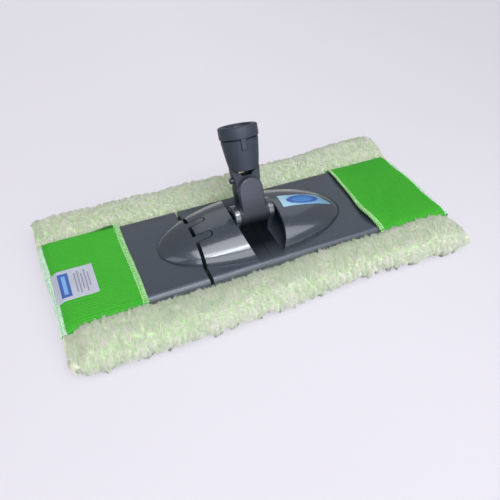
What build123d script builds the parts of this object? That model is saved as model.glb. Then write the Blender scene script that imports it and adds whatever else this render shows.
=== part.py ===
from build123d import *
import math
import os

# A flat floor mop head: a plush pad with end pockets, holding a plate that folds in
# two and carries a domed cover and a two-axis joint for a round handle.
# Frame: origin on the floor under the middle of the pad, +X right along the plate,
# +Y away from the user (front is -Y), +Z up. Lengths are millimetres.
# Cutting solids overshoot the material they cut by round amounts.

os.makedirs("parts", exist_ok=True)

SIDES = (-1, 1)
RUN = 0.05               # radial running clearance on every pin

# frame plate
PLATE_HALF_W = 110.0 / 2
PLATE_HALF_L = 197.0     # its ends lie inside the pockets
PLATE_BOT = 17.0
PLATE_TOP = 26.0
SKIN = 2.4               # thickness of the top
SIDE_WALL = 2.6
END_WALL = 3.2
EDGE_R = 4.0             # rounded long edges
END_R = 14.0             # plan radius of the plate ends
RIB_HALF_T = 0.9
LONG_RIB_YS = (-34.0, 0.0, 34.0)
CROSS_RIB_PITCH = 32.0

# fold gap between the wing (left) and the main plate (right)
GAP_X = -65.6
GAP_W = 3.6
GAP_L = GAP_X - GAP_W / 2
GAP_R = GAP_X + GAP_W / 2

# domes
DOME_HALF_L = 102.0
DOME_HALF_W = 45.0
DOME_H = 24.0            # crest above the plate
DOME_TAPER = 0.75        # how quickly the crest falls towards the tips
DOME_WALL = 2.2
DOME_SINK = 1.2          # the lofts start this far below the plate top
DOME_STATIONS = (0.0, 0.22, 0.42, 0.60, 0.75, 0.87, 0.95, 0.99)  # parts of the half length
DOME_ARC_STEPS = 16
MOUTH_X = 14.0           # the open faces start here at plate level
MOUTH_SLOPE = 0.45       # and lean outwards by this much per millimetre
MOUTH_CUT_H = 40.0

# fold hinge and latch magnets
HINGE_X = -57.0
HINGE_Z = 21.5
HINGE_PIN_R = 2.0
FINGER_Y = 11.0          # centre of each finger, either side of the middle
FINGER_HALF_W = 7.2 / 2
FINGER_TIP_X = -49.4
SLOT_CLEAR = 0.75
TIP_CLEAR = 0.5          # extra room beyond the finger tip
KNUCKLE_END_X = -46.0
KNUCKLE_HALF_W = 23.0
MAGNET_R = 3.0
MAGNET_L = 3.6
MAGNET_Y = 37.0
BOSS_L = 6.5
BOSS_HALF_W = 5.5

# two-axis joint
JOINT_X = -1.5
AXIS_Z = 46.3            # tilt axle, along X
REST_LEAN = 27.0         # the handle leans back by this many degrees at rest
PIVOT_UP = 25.0          # swing pin above the tilt axle, along the block
BARREL_R = 11.5
BARREL_HALF = 15.0
EAR_IN = BARREL_HALF + 0.5
EAR_OUT = 21.0
EAR_R = 11.0
EAR_POST = 7.6           # half width of the post under each ear
AXLE_R = 3.0
AXLE_HEAD_R = 4.8
COUNTERBORE_R = 5.0
AXLE_GROOVE_R = 2.4
CHEEK_HALF = 12.7        # half width of the upright cheeks
CHEEK_OUT = BARREL_R     # outer face of a cheek, flush with the barrel
CHEEK_IN = 5.5           # inner face of a cheek
PIN_R = 3.0
PIN_HEAD_R = 5.2

# handle socket, heights measured from the swing pin
NECK_HALF_T = 5.3
NECK_R = 12.0
RIM_Z = 20.0             # lower rim of the round body
RIM_R = 14.6
SEAM_Z = 51.0            # collar seam
SEAM_R = 18.5
COLLAR_TOP = 62.4
COLLAR_R = 19.4
BORE_R = 12.0            # for a 24 mm handle
SLEEVE_R = 13.1
SKIRT_R = 15.4
TAB_ANGLE = -98.0        # collar tab, almost straight to the front
BUTTON_Z = 11.0
BUTTON_R = 3.1
STEM_R = 1.8

# pad
PAD_HALF_L = 207.4
PAD_HALF_W = 97.5
PAD_H = 26.0
PAD_CORNER = 12.0
PAD_EDGE_R = 4.0
PILE_UNDER = 15.0        # pile thickness under the plate
BACK_BOT = PILE_UNDER + 0.1
BACK_TOP = 16.8
PAD_FACE = BACK_TOP + 0.1   # pockets and end seams rest here
BAND_IN = 59.5           # inner edge of the rolled-over plush bands
NOTCH_DEG = 38.0         # relief each side of the fold line
FOLD_HALF_GAP = 0.6

# pockets
POCKET_X0 = 127.0        # inner, open edge
POCKET_X1 = 203.0        # sewn edge
POCKET_HALF_W = 57.6
POCKET_TOP = 27.9
CLOTH = 1.1
TRIM_Z = POCKET_TOP + 0.05
HEM_W = 5.2

# label and sticker
LABEL = 38.0
LABEL_X = -POCKET_X1 + 0.6
LABEL_Y = -28.6
# corners (x, y): front left, front right, back right, back left
STICKER = ((31.5, -6.8), (91.0, -7.4), (77.0, 8.6), (32.5, 12.4))
STICKER_LIFT = 0.25
STICKER_T = 0.3


# ------------------------------------------------------------------- helpers
def box(x0, x1, y0, y1, z0, z1):
    centre = Pos((x0 + x1) / 2, (y0 + y1) / 2, (z0 + z1) / 2)
    return centre * Box(x1 - x0, y1 - y0, z1 - z0)


def rod_x(radius, x0, x1, y=0.0, z=0.0):
    return Pos((x0 + x1) / 2, y, z) * Rotation(0, 90, 0) * Cylinder(radius, x1 - x0)


def rod_y(radius, y0, y1, x=0.0, z=0.0):
    return Pos(x, (y0 + y1) / 2, z) * Rotation(90, 0, 0) * Cylinder(radius, y1 - y0)


def prism_y(points, y0, y1):
    """A prism whose (x, z) outline runs from y0 to y1."""
    plane = Plane(origin=(0, y1, 0), x_dir=(1, 0, 0), z_dir=(0, -1, 0))
    face = make_face(Polyline(*points, close=True))
    return extrude(plane * face, amount=y1 - y0, dir=(0, -1, 0))


def prism_x(points, x0, x1):
    """A prism whose (y, z) outline runs from x0 to x1."""
    plane = Plane(origin=(x0, 0, 0), x_dir=(0, 1, 0), z_dir=(1, 0, 0))
    face = make_face(Polyline(*points, close=True))
    return extrude(plane * face, amount=x1 - x0, dir=(1, 0, 0))


def turned(points):
    """A solid of revolution about Z from (radius, z) points."""
    face = make_face(Polyline(*points, close=True))
    return revolve(Rotation(90, 0, 0) * face, Axis.Z)


def rounded_slab(half_l, half_w, radius, z0, z1):
    outline = RectangleRounded(2 * half_l, 2 * half_w, radius)
    return Pos(0, 0, z0) * extrude(outline, amount=z1 - z0)


def span(side, near, far):
    """Two distances from the middle as ordered coordinates on one side."""
    return sorted((side * near, side * far))


def from_gap(side, near, far):
    """Ordered x of two distances from the gap edge, into the plate on that side."""
    return sorted(GAP_X + side * (GAP_W / 2 + d) for d in (near, far))


# --------------------------------------------------------------------- domes
def dome_size(station, inset=0.0):
    """Half width and crest height at a fraction of the half length."""
    fullness = 1 - station * station
    half_w = (DOME_HALF_W - inset) * math.sqrt(fullness)
    return half_w, (DOME_H - inset) * fullness ** DOME_TAPER


def dome_section(x, half_w, crest):
    points = []
    for i in range(DOME_ARC_STEPS + 1):
        t = math.pi * i / DOME_ARC_STEPS
        points.append(Vector(x, half_w * math.cos(t), PLATE_TOP + crest * math.sin(t)))
    arc = Spline(*points)
    base = Polyline(
        points[-1],
        Vector(x, -half_w, PLATE_TOP - DOME_SINK),
        Vector(x, half_w, PLATE_TOP - DOME_SINK),
        points[0],
    )
    return Wire(arc.edges() + base.edges())


def dome_halves(inset):
    """Left and right lofts of half ellipses, before any cut."""
    halves = []
    for side in SIDES:
        sections = [
            dome_section(side * s * (DOME_HALF_L - inset), *dome_size(s, inset))
            for s in DOME_STATIONS
        ]
        halves.append(Solid.make_loft(sections, ruled=False))
    return halves


def mouth_cutter():
    """Everything between the two leaning open faces."""
    top_x = MOUTH_X + MOUTH_SLOPE * MOUTH_CUT_H
    top_z = PLATE_TOP + MOUTH_CUT_H
    outline = [(-MOUTH_X, PLATE_TOP), (MOUTH_X, PLATE_TOP), (top_x, top_z), (-top_x, top_z)]
    return prism_y(outline, -70, 70)


left_out, right_out = dome_halves(0.0)
left_in, right_in = dome_halves(DOME_WALL)
above_plate = box(-150, 150, -80, 80, PLATE_TOP - 0.6, PLATE_TOP + 60)
cavity = box(-150, 150, -80, 80, PLATE_TOP, PLATE_TOP + 60)
left_shell = (left_out & above_plate) - (left_in & cavity)
right_shell = (right_out & above_plate) - (right_in & cavity)


# -------------------------------------------------------------------- plates
def plate_shell(x0, x1, wall_x0, wall_x1):
    """A shallow ribbed tray, open below, with rounded long edges."""
    w = PLATE_HALF_W
    outline = [(-w, PLATE_BOT), (w, PLATE_BOT)]
    for start, centre_y in ((0, w - EDGE_R), (math.pi / 2, -w + EDGE_R)):
        for i in range(7):
            t = start + math.pi / 2 * i / 6
            z = PLATE_TOP - EDGE_R + EDGE_R * math.sin(t)
            outline.append((centre_y + EDGE_R * math.cos(t), z))
    outer = prism_x(outline, x0, x1)
    plan = rounded_slab(PLATE_HALF_L, w + 1, END_R, PLATE_BOT - 1, PLATE_TOP + 1)
    outer = outer & plan
    inner_w = w - SIDE_WALL
    inner = box(
        x0 + wall_x0, x1 - wall_x1, -inner_w, inner_w, PLATE_BOT - 1, PLATE_TOP - SKIN
    )
    inner = inner & rounded_slab(
        PLATE_HALF_L - END_WALL, inner_w, END_R - 3, PLATE_BOT - 2, PLATE_TOP
    )
    rib_z = (PLATE_BOT + 1.0, PLATE_TOP - 1)
    ribs = [box(x0 + 1, x1 - 1, y - RIB_HALF_T, y + RIB_HALF_T, *rib_z) for y in LONG_RIB_YS]
    x = x0 + CROSS_RIB_PITCH
    while x < x1 - 12:
        ribs.append(box(x - RIB_HALF_T, x + RIB_HALF_T, -w + 1.5, w - 1.5, *rib_z))
        x += CROSS_RIB_PITCH
    return (outer - inner) + [rib & plan for rib in ribs]


def add_magnet_bosses(plate, gap_side):
    for side in SIDES:
        y = side * MAGNET_Y
        plate = plate + box(
            *from_gap(gap_side, 0, BOSS_L), y - BOSS_HALF_W, y + BOSS_HALF_W,
            PLATE_BOT, PLATE_TOP - 1,
        )
    return plate


def cut_bores(plate, gap_side, side):
    """Hinge pin and magnet bores on one side of the middle."""
    plate = plate - rod_y(HINGE_PIN_R + RUN, *span(side, 1.5, 24.0), HINGE_X, HINGE_Z)
    bore = from_gap(gap_side, -1, MAGNET_L + 0.3)
    return plate - rod_x(MAGNET_R + RUN, *bore, side * MAGNET_Y, HINGE_Z)


def cut_finger_slots(plate):
    half_w = FINGER_HALF_W + SLOT_CLEAR
    tip = FINGER_TIP_X + SLOT_CLEAR + TIP_CLEAR - half_w
    for side in SIDES:
        y = side * FINGER_Y
        plate = plate - box(GAP_R - 4, tip, y - half_w, y + half_w, PLATE_BOT - 1, PLATE_TOP + 40)
        plate = plate - Pos(tip, y, PLATE_TOP + 15) * Cylinder(half_w, 52)
    return plate


def axle_ear(side):
    post = box(EAR_IN, EAR_OUT, -EAR_POST, EAR_POST, PLATE_TOP - 1.5, AXIS_Z)
    disc = rod_x(EAR_R, EAR_IN, EAR_OUT, 0, AXIS_Z)
    disc = fillet(disc.edges().sort_by(Axis.X)[-1:], 0.8)
    ear = disc + post
    if side < 0:
        ear = mirror(ear, about=Plane.YZ)
    return Pos(JOINT_X, 0, 0) * ear


def main_plate():
    """Tray, right dome, inner part of the left dome, knuckles and ears."""
    plate = plate_shell(GAP_R, PLATE_HALF_L, END_WALL, SKIN)
    mouth = mouth_cutter()
    plate = plate + (right_shell - mouth)
    plate = plate + ((left_shell - mouth) & box(GAP_R, 0, -80, 80, 0, 100))
    plate = plate + box(
        GAP_R, KNUCKLE_END_X, -KNUCKLE_HALF_W, KNUCKLE_HALF_W, PLATE_BOT, PLATE_TOP - 1
    )
    plate = add_magnet_bosses(plate, 1)
    plate = cut_finger_slots(plate)
    for side in SIDES:
        plate = plate + axle_ear(side)
    bore_x0 = JOINT_X - EAR_OUT - 0.4
    plate = plate - rod_x(AXLE_R + RUN, bore_x0, JOINT_X + EAR_OUT + 0.4, 0, AXIS_Z)
    # counterbore for the axle head in the left ear
    plate = plate - rod_x(COUNTERBORE_R, bore_x0, JOINT_X - EAR_OUT + 2.1, 0, AXIS_Z)
    for side in SIDES:
        plate = cut_bores(plate, 1, side)
    # two low ribs along X on the floor of the mouth, and a fine groove along Y
    for side in SIDES:
        y = side * 16.0
        plate = plate + box(-13.5, 13.5, y - 0.45, y + 0.45, PLATE_TOP - 0.5, PLATE_TOP + 0.45)
    return plate - box(-0.9, -0.1, -48.0, 48.0, PLATE_TOP - 0.5, PLATE_TOP + 1.0)


def hinge_finger(y):
    """A round-tipped finger that fills its slot in the dome."""
    half_w = FINGER_HALF_W
    tip = FINGER_TIP_X - half_w
    top = PLATE_TOP + 40
    plan = box(GAP_L - 5, tip, y - half_w, y + half_w, PLATE_BOT, top)
    plan = plan + Pos(tip, y, (PLATE_BOT + top) / 2) * Cylinder(half_w, top - PLATE_BOT)
    low = plan & box(-90, -40, -30, 30, PLATE_BOT, PLATE_TOP - 0.1)
    high = plan & (left_out & above_plate)
    finger = low + high
    # cleared below, right of the pin, then rounded about the pin
    finger = finger - box(HINGE_X, -40, -30, 30, PLATE_BOT - 1, PLATE_TOP + 3.0)
    return finger + rod_y(PLATE_TOP - HINGE_Z, y - half_w, y + half_w, HINGE_X, HINGE_Z)


def wing_plate():
    """Tray, tip of the left dome and two hinge fingers."""
    plate = plate_shell(-PLATE_HALF_L, GAP_L, SKIN, END_WALL)
    plate = plate + (left_shell & box(-150, GAP_L, -80, 80, 0, 100))
    plate = add_magnet_bosses(plate, -1)
    for side in SIDES:
        plate = plate + hinge_finger(side * FINGER_Y)
        plate = cut_bores(plate, -1, side)
    return plate


def pair(shapes):
    return Compound(children=[shape.solids()[0] for shape in shapes])


def hinge_pins():
    return pair(rod_y(HINGE_PIN_R, *span(side, 2.0, 22.5), HINGE_X, HINGE_Z) for side in SIDES)


def latch_magnets(gap_side):
    ends = from_gap(gap_side, 0.1, 0.1 + MAGNET_L)
    return pair(rod_x(MAGNET_R, *ends, side * MAGNET_Y, HINGE_Z) for side in SIDES)


# ---------------------------------------------------------------- tilt axle
def tilt_axle():
    """Headed at the left, grooved for the clip at the right."""
    head_x = -EAR_OUT + 0.2
    axle = rod_x(AXLE_R, head_x, EAR_OUT + 2.4, 0, AXIS_Z)
    axle = axle + rod_x(AXLE_HEAD_R, head_x, -EAR_OUT + 2.0, 0, AXIS_Z)
    axle = axle - (
        rod_x(5, EAR_OUT + 0.3, EAR_OUT + 1.4, 0, AXIS_Z)
        - rod_x(AXLE_GROOVE_R, EAR_OUT, EAR_OUT + 2, 0, AXIS_Z)
    )
    return Pos(JOINT_X, 0, 0) * axle


def axle_clip():
    """A ring in the axle groove, open below."""
    ring = rod_x(AXLE_HEAD_R, EAR_OUT + 0.4, EAR_OUT + 1.3, 0, AXIS_Z)
    ring = ring - rod_x(AXLE_GROOVE_R + RUN, EAR_OUT, EAR_OUT + 2, 0, AXIS_Z)
    ring = ring - box(EAR_OUT, EAR_OUT + 2, -1.9, 1.9, AXIS_Z - 8, AXIS_Z)
    return Pos(JOINT_X, 0, 0) * ring


# ------------------------------------------------------------- swivel block
# Built upright with the tilt axle at the origin, then leaned back.
LEAN = Pos(JOINT_X, 0, AXIS_Z) * Rotation(-REST_LEAN, 0, 0)


def swivel_block():
    block = rod_x(BARREL_R, -BARREL_HALF, BARREL_HALF)
    cheek = rod_y(CHEEK_HALF, -CHEEK_OUT, CHEEK_OUT, 0, PIVOT_UP) + box(
        -CHEEK_HALF, CHEEK_HALF, -CHEEK_OUT, CHEEK_OUT, 0, PIVOT_UP
    )
    rim_edges = cheek.edges().filter_by(
        lambda edge: abs(abs(edge.center().Y) - CHEEK_OUT) < 0.01 and edge.center().Z > 5
    )
    cheek = fillet(rim_edges, 2.0)
    block = block + cheek
    block = block - box(-20, 20, -CHEEK_IN, CHEEK_IN, BARREL_R + 0.8, 60)
    block = block - rod_x(AXLE_R + RUN, -20, 20)
    # blind in front, open at the back
    return block - rod_y(PIN_R + RUN, -CHEEK_OUT + 1.5, CHEEK_OUT + 1, 0, PIVOT_UP)


def swing_pin():
    shank = rod_y(PIN_R, -CHEEK_OUT + 1.7, CHEEK_OUT + 0.2, 0, PIVOT_UP)
    return shank + rod_y(PIN_HEAD_R, CHEEK_OUT + 0.1, CHEEK_OUT + 2.0, 0, PIVOT_UP)


# ------------------------------------------------------------ handle socket
# Built with the swing pin at the origin, then raised and leaned.
ON_PIN = LEAN * Pos(0, 0, PIVOT_UP)
TAB = Rotation(0, 0, TAB_ANGLE)

# (x, z) outline of the flat neck
NECK = [
    (-12.0, 0.0), (-13.3, 11.0), (-14.3, RIM_Z + 2.0),
    (14.3, RIM_Z + 2.0), (13.3, 11.0), (12.0, 0.0),
]
# (radius, z) section of the round body, outside then inside
BODY = [
    (0.0, RIM_Z), (RIM_R - 0.6, RIM_Z), (RIM_R, RIM_Z + 0.6),
    (RIM_R + 1.7, RIM_Z + 11.0), (RIM_R + 3.0, RIM_Z + 21.0),
    (SEAM_R, SEAM_Z - 1.7), (SEAM_R - 0.7, SEAM_Z - 0.9),
    (SKIRT_R + 0.1, SEAM_Z - 0.9), (SKIRT_R + 0.1, RIM_Z + 13.0),
    (BORE_R + 0.4, RIM_Z + 9.0), (BORE_R + 0.4, RIM_Z + 3.0), (0.0, RIM_Z + 3.0),
]
# (x, z) outline of the recess under the rim
RECESS = [
    (-5.4, 14.2), (5.2, 14.2), (5.6, RIM_Z - 3.6), (11.0, RIM_Z - 0.9),
    (11.0, RIM_Z), (-11.0, RIM_Z), (-11.0, RIM_Z - 0.9), (-5.8, RIM_Z - 3.6),
]
# (x, z) outline of the opening from the recess to the back
OPENING = [(-5.2, RIM_Z - 4.4), (1.0, RIM_Z - 4.4), (1.0, RIM_Z), (-5.2, RIM_Z)]
# (radius, z) section of the collar and its skirt
COLLAR = [
    (SLEEVE_R + 0.1, RIM_Z + 13.6), (SKIRT_R, RIM_Z + 13.6), (SKIRT_R, SEAM_Z),
    (COLLAR_R - 0.5, SEAM_Z), (COLLAR_R, SEAM_Z + 0.6), (COLLAR_R, COLLAR_TOP - 1.4),
    (COLLAR_R - 0.5, COLLAR_TOP - 0.4), (COLLAR_R - 1.4, COLLAR_TOP),
    (SLEEVE_R + 1.4, COLLAR_TOP), (SLEEVE_R + 0.1, COLLAR_TOP - 1.8),
]
# (radius, z) limits of the collar tab
TAB_LIMIT = [
    (0, 0), (SEAM_R + 0.1, 0), (SEAM_R + 0.3, SEAM_Z), (COLLAR_R, SEAM_Z + 1), (0, SEAM_Z + 1),
]
# (radius, z) section of the grip sleeve
SLEEVE = [
    (BORE_R + 0.9, RIM_Z + 11.0), (SLEEVE_R, RIM_Z + 13.4), (SLEEVE_R, COLLAR_TOP - 2.4),
    (BORE_R + 0.6, COLLAR_TOP - 2.4), (BORE_R, COLLAR_TOP - 3.4), (BORE_R, RIM_Z + 11.0),
]


def handle_socket():
    neck = prism_y(NECK, -NECK_HALF_T, NECK_HALF_T) + rod_y(NECK_R, -NECK_HALF_T, NECK_HALF_T)
    socket = turned(BODY) + neck
    socket = socket - prism_y(RECESS, -12, 3.5)
    socket = socket - prism_y(OPENING, 3, 12)
    # spring chamber, open at the back
    socket = socket - box(-5.2, 5.0, -3.7, 12, 7.4, 13.6)
    socket = socket - rod_y(PIN_R + RUN, -20, 20)
    # button bore, stem bore and a wider stretch of the stem bore
    socket = socket - rod_x(BUTTON_R + 0.1, -20, -9.2, 0, BUTTON_Z)
    socket = socket - rod_x(STEM_R + RUN, -20, 10.2, 0, BUTTON_Z)
    socket = socket - rod_x(2.9, 4.0, 8.8, 0, BUTTON_Z)
    # notch for the collar tab
    return socket - TAB * box(SKIRT_R - 0.4, 22, -3.0, 3.0, SEAM_Z - 10.9, SEAM_Z + 1)


def socket_collar():
    collar = turned(COLLAR)
    tab = TAB * box(SKIRT_R - 0.2, 19.0, -2.45, 2.45, SEAM_Z - 10.2, SEAM_Z + 0.8)
    return collar + (tab & turned(TAB_LIMIT))


def grip_sleeve():
    """A thin tube, slit at the back."""
    return turned(SLEEVE) - box(-1.4, 1.4, 5, 20, RIM_Z, COLLAR_TOP + 1)


def lock_button():
    """Rounded button at the left, with a flanged stem."""
    button = rod_x(BUTTON_R, -17.3, -12.5, 0, BUTTON_Z)
    button = fillet(button.edges().sort_by(Axis.X)[:1], 1.4)
    button = button + rod_x(STEM_R, -12.6, 6.2, 0, BUTTON_Z)
    return button + rod_x(2.5, -4.6, -3.6, 0, BUTTON_Z)


def button_spring():
    path = Helix(pitch=1.6, height=8.0, radius=2.2)
    wire = Plane(origin=path @ 0, z_dir=path % 0) * Circle(0.3)
    spring = sweep(wire, path=path, is_frenet=True)
    return Pos(-3.2, 0, BUTTON_Z) * Rotation(0, 90, 0) * spring


# ----------------------------------------------------------------------- pad
def fold_relief():
    """A narrow slit above the hinge line that opens into a V below it."""
    slit = FOLD_HALF_GAP
    foot = slit + math.tan(math.radians(NOTCH_DEG)) * (HINGE_Z + 1)
    outline = [
        (HINGE_X - slit, 60), (HINGE_X - slit, HINGE_Z), (HINGE_X - foot, -1),
        (HINGE_X + foot, -1), (HINGE_X + slit, HINGE_Z), (HINGE_X + slit, 60),
    ]
    return prism_y(outline, -120, 120)


def split_at_fold(sheet):
    """The main (right) and wing (left) parts of a pad layer."""
    sheet = sheet - fold_relief()
    main = sheet & box(HINGE_X, 300, -150, 150, -5, 60)
    wing = sheet & box(-300, HINGE_X, -150, 150, -5, 60)
    return main, wing


def pile():
    plush = rounded_slab(PAD_HALF_L, PAD_HALF_W, PAD_CORNER, 0, PAD_H)
    plush = plush - box(-300, 300, -BAND_IN, BAND_IN, PILE_UNDER, 60)
    # room for the backing under the bands
    plush = plush - rounded_slab(
        PAD_HALF_L + 2, PAD_HALF_W - 1.3, PAD_CORNER, PILE_UNDER, BACK_TOP + 0.1
    )
    long_edges = plush.edges().filter_by(Axis.X).filter_by(
        lambda edge: abs(edge.center().Z - PAD_H) < 0.01 or abs(edge.center().Z) < 0.01
    )
    return fillet(long_edges, PAD_EDGE_R)


def backing():
    return rounded_slab(PAD_HALF_L - 0.2, PAD_HALF_W - 1.5, PAD_CORNER, BACK_BOT, BACK_TOP)


def pocket(side):
    """A cloth cover, open below and at its inner end."""
    w = POCKET_HALF_W
    outer = box(*span(side, POCKET_X0, POCKET_X1), -w, w, PAD_FACE, POCKET_TOP)
    ends = span(side, POCKET_X0 - 1, POCKET_X1 - CLOTH)
    return outer - box(*ends, -w + CLOTH, w - CLOTH, 0, POCKET_TOP - CLOTH)


def pocket_hem(side):
    ends = span(side, POCKET_X0, POCKET_X0 + HEM_W)
    return box(*ends, -POCKET_HALF_W, POCKET_HALF_W, TRIM_Z, POCKET_TOP + 0.7)


def end_seam(side):
    ends = span(side, POCKET_X1 + 0.2, PAD_HALF_L - 0.3)
    return box(*ends, -POCKET_HALF_W, POCKET_HALF_W, PAD_FACE, BACK_TOP + 3.2)


def end_binding(side):
    half_w = PAD_HALF_W - PAD_CORNER
    ends = span(side, PAD_HALF_L + 0.2, PAD_HALF_L + 2.1)
    strip = box(*ends, -half_w, half_w, 6.0, 19.5)
    return fillet(strip.edges().filter_by(Axis.Y), 0.9)


# ---------------------------------------------------------------------- trim
def care_label():
    """A square label on the left pocket."""
    return box(LABEL_X, LABEL_X + LABEL, LABEL_Y, LABEL_Y + LABEL, TRIM_Z, POCKET_TOP + 0.45)


def dome_height(x, y):
    half_w, crest = dome_size(x / DOME_HALF_L)
    return PLATE_TOP + crest * math.sqrt(1 - (y / half_w) ** 2)


def blend(start, end, t):
    return [(1 - t) * a + t * b for a, b in zip(start, end)]


def dome_sticker():
    """A curved sticker that follows the right dome."""
    front_left, front_right, back_right, back_left = STICKER
    rows = []
    for i in range(9):
        front = blend(front_left, front_right, i / 8)
        back = blend(back_left, back_right, i / 8)
        row = []
        for j in range(5):
            x, y = blend(front, back, j / 4)
            row.append(Vector(x, y, dome_height(x, y) + STICKER_LIFT))
        rows.append(row)
    surface = Face.make_surface_from_array_of_points(rows)
    return Solid.extrude(surface, Vector(0, 0, STICKER_T))


# ------------------------------------------------------------------- writing
pile_main, pile_wing = split_at_fold(pile())
backing_main, backing_wing = split_at_fold(backing())

parts = {
    "main_plate": main_plate(),
    "wing_plate": wing_plate(),
    "hinge_pins": hinge_pins(),
    "latch_magnets_main": latch_magnets(1),
    "latch_magnets_wing": latch_magnets(-1),
    "tilt_axle": tilt_axle(),
    "axle_clip": axle_clip(),
    "swivel_block": LEAN * swivel_block(),
    "swing_pin": LEAN * swing_pin(),
    "handle_socket": ON_PIN * handle_socket(),
    "socket_collar": ON_PIN * socket_collar(),
    "grip_sleeve": ON_PIN * grip_sleeve(),
    "lock_button": ON_PIN * lock_button(),
    "button_spring": ON_PIN * button_spring(),
    "pile_main": pile_main,
    "pile_wing": pile_wing,
    "backing_main": backing_main,
    "backing_wing": backing_wing,
    "care_label": care_label(),
    "dome_sticker": dome_sticker(),
}
for side, word in ((-1, "left"), (1, "right")):
    for build in (pocket, pocket_hem, end_seam, end_binding):
        parts[f"{build.__name__}_{word}"] = build(side)

for name, shape in parts.items():
    export_step(shape, os.path.join("parts", name + ".step"))
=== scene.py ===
import itertools
import math

import bmesh
import bpy
import numpy as np
from mathutils import Matrix, Quaternion, Vector


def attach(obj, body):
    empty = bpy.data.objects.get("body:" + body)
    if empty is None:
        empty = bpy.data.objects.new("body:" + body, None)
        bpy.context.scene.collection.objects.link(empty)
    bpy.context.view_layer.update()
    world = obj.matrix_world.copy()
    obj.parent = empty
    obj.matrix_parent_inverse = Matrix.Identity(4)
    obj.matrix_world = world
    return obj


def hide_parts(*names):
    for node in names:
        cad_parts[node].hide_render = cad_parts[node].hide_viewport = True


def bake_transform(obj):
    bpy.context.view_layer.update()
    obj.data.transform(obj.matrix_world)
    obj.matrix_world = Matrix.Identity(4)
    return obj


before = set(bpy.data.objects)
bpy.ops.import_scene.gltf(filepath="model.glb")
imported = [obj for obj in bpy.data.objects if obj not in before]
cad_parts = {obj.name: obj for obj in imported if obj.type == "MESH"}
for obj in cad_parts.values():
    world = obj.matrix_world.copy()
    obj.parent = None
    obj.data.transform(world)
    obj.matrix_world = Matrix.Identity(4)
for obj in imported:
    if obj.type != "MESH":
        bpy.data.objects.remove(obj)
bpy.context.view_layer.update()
MM = 0.001
TAU = 2 * math.pi

PLATE_TOP = 26.0

LEFT, RIGHT = -1, 1
SIDES = ((LEFT, "left", "wing"), (RIGHT, "right", "head"))     # side, name, body it rides on

scene = bpy.context.scene
scene.view_settings.view_transform = "Standard"
scene.view_settings.look = "None"
scene.view_settings.exposure = 0.0


# ------------------------------------------------------------ curves and noise
def ease(start, end, value):
    """Smooth step from 0 at start to 1 at end."""
    t = np.clip((np.asarray(value, float) - start) / (end - start), 0, 1)
    return t * t * (3 - 2 * t)


def bell(value, centre, width):
    return np.exp(-((value - centre) / width) ** 2)


def lookup(table, at):
    """Straight-line interpolation in a table of (place, value) pairs."""
    return np.interp(at, *zip(*table))


def unit(vectors):
    return vectors / (np.linalg.norm(vectors, axis=-1, keepdims=True) + 1e-12)


def cell_hash(index, seed):
    """A repeatable number in 0..1 for each whole-number cell (..., 3)."""
    ix, iy, iz = np.moveaxis(index.astype(np.uint64), -1, 0)
    n = (
        ix * np.uint64(73856093)
        ^ iy * np.uint64(19349663)
        ^ iz * np.uint64(83492791)
        ^ np.uint64(seed * 2654435761 % (1 << 32))
    )
    n = (n ^ (n >> np.uint64(13))) * np.uint64(1274126177)
    n = n & np.uint64(0xFFFFFFFF)
    n = (n ^ (n >> np.uint64(16))) * np.uint64(2246822519)
    n = (n ^ (n >> np.uint64(15))) & np.uint64(0xFFFFFFFF)
    return n.astype(np.float64) / 4294967295.0


def value_noise(points, size, seed):
    """Smooth noise in -1..1 at points (..., 3), with cells of the given size."""
    scaled = np.asarray(points, float) / size + 1000.0
    corner = np.floor(scaled).astype(np.int64)
    part = scaled - corner
    blend = part * part * part * (part * (part * 6 - 15) + 10)
    total = np.zeros(scaled.shape[:-1])
    for step in itertools.product((0, 1), repeat=3):
        wx, wy, wz = (blend[..., k] if step[k] else 1 - blend[..., k] for k in range(3))
        total += wx * wy * wz * cell_hash(corner + np.array(step), seed)
    return total * 2 - 1


def layered_noise(points, size, seed, octaves):
    total, weight, weights = 0, 1.0, 0.0
    for k in range(octaves):
        total = total + weight * value_noise(points, size / 2**k, seed + 17 * k)
        weights += weight
        weight *= 0.5
    return total / weights


def scatter_cells(points, size, seed):
    """Distances to the nearest and second jittered cell centre, in sizes, and the nearest one."""
    scaled = np.asarray(points, float) / size + 1000.0
    corner = np.floor(scaled).astype(np.int64)
    first = np.full(len(scaled), 9.0)
    second = np.full(len(scaled), 9.0)
    nearest = np.zeros((len(scaled), 3))
    for step in itertools.product((-1, 0, 1), repeat=3):
        index = corner + np.array(step)
        centre = np.stack([index[:, k] + cell_hash(index, seed + k) for k in range(3)], 1)
        distance = np.sqrt(((centre - scaled) ** 2).sum(1))
        second = np.minimum(second, np.maximum(first, distance))
        closer = distance < first
        nearest[closer] = centre[closer]
        first = np.minimum(first, distance)
    return first, second, (nearest - 1000.0) * size


def resample(points, count):
    """Points evenly spaced along a smooth curve through the given ones."""
    points = np.array(points, float)
    run = np.r_[0, np.cumsum(np.linalg.norm(np.diff(points, axis=0), axis=1))]
    at = np.linspace(0, run[-1], count)
    slope = np.gradient(points, run, axis=0)
    k = np.clip(np.searchsorted(run, at, side="right") - 1, 0, len(run) - 2)
    gap = (run[k + 1] - run[k])[:, None]
    s = (at - run[k])[:, None] / gap
    return (
        (2 * s**3 - 3 * s**2 + 1) * points[k]
        + (s**3 - 2 * s**2 + s) * gap * slope[k]
        + (-2 * s**3 + 3 * s**2) * points[k + 1]
        + (s**3 - s**2) * gap * slope[k + 1]
    )


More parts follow.
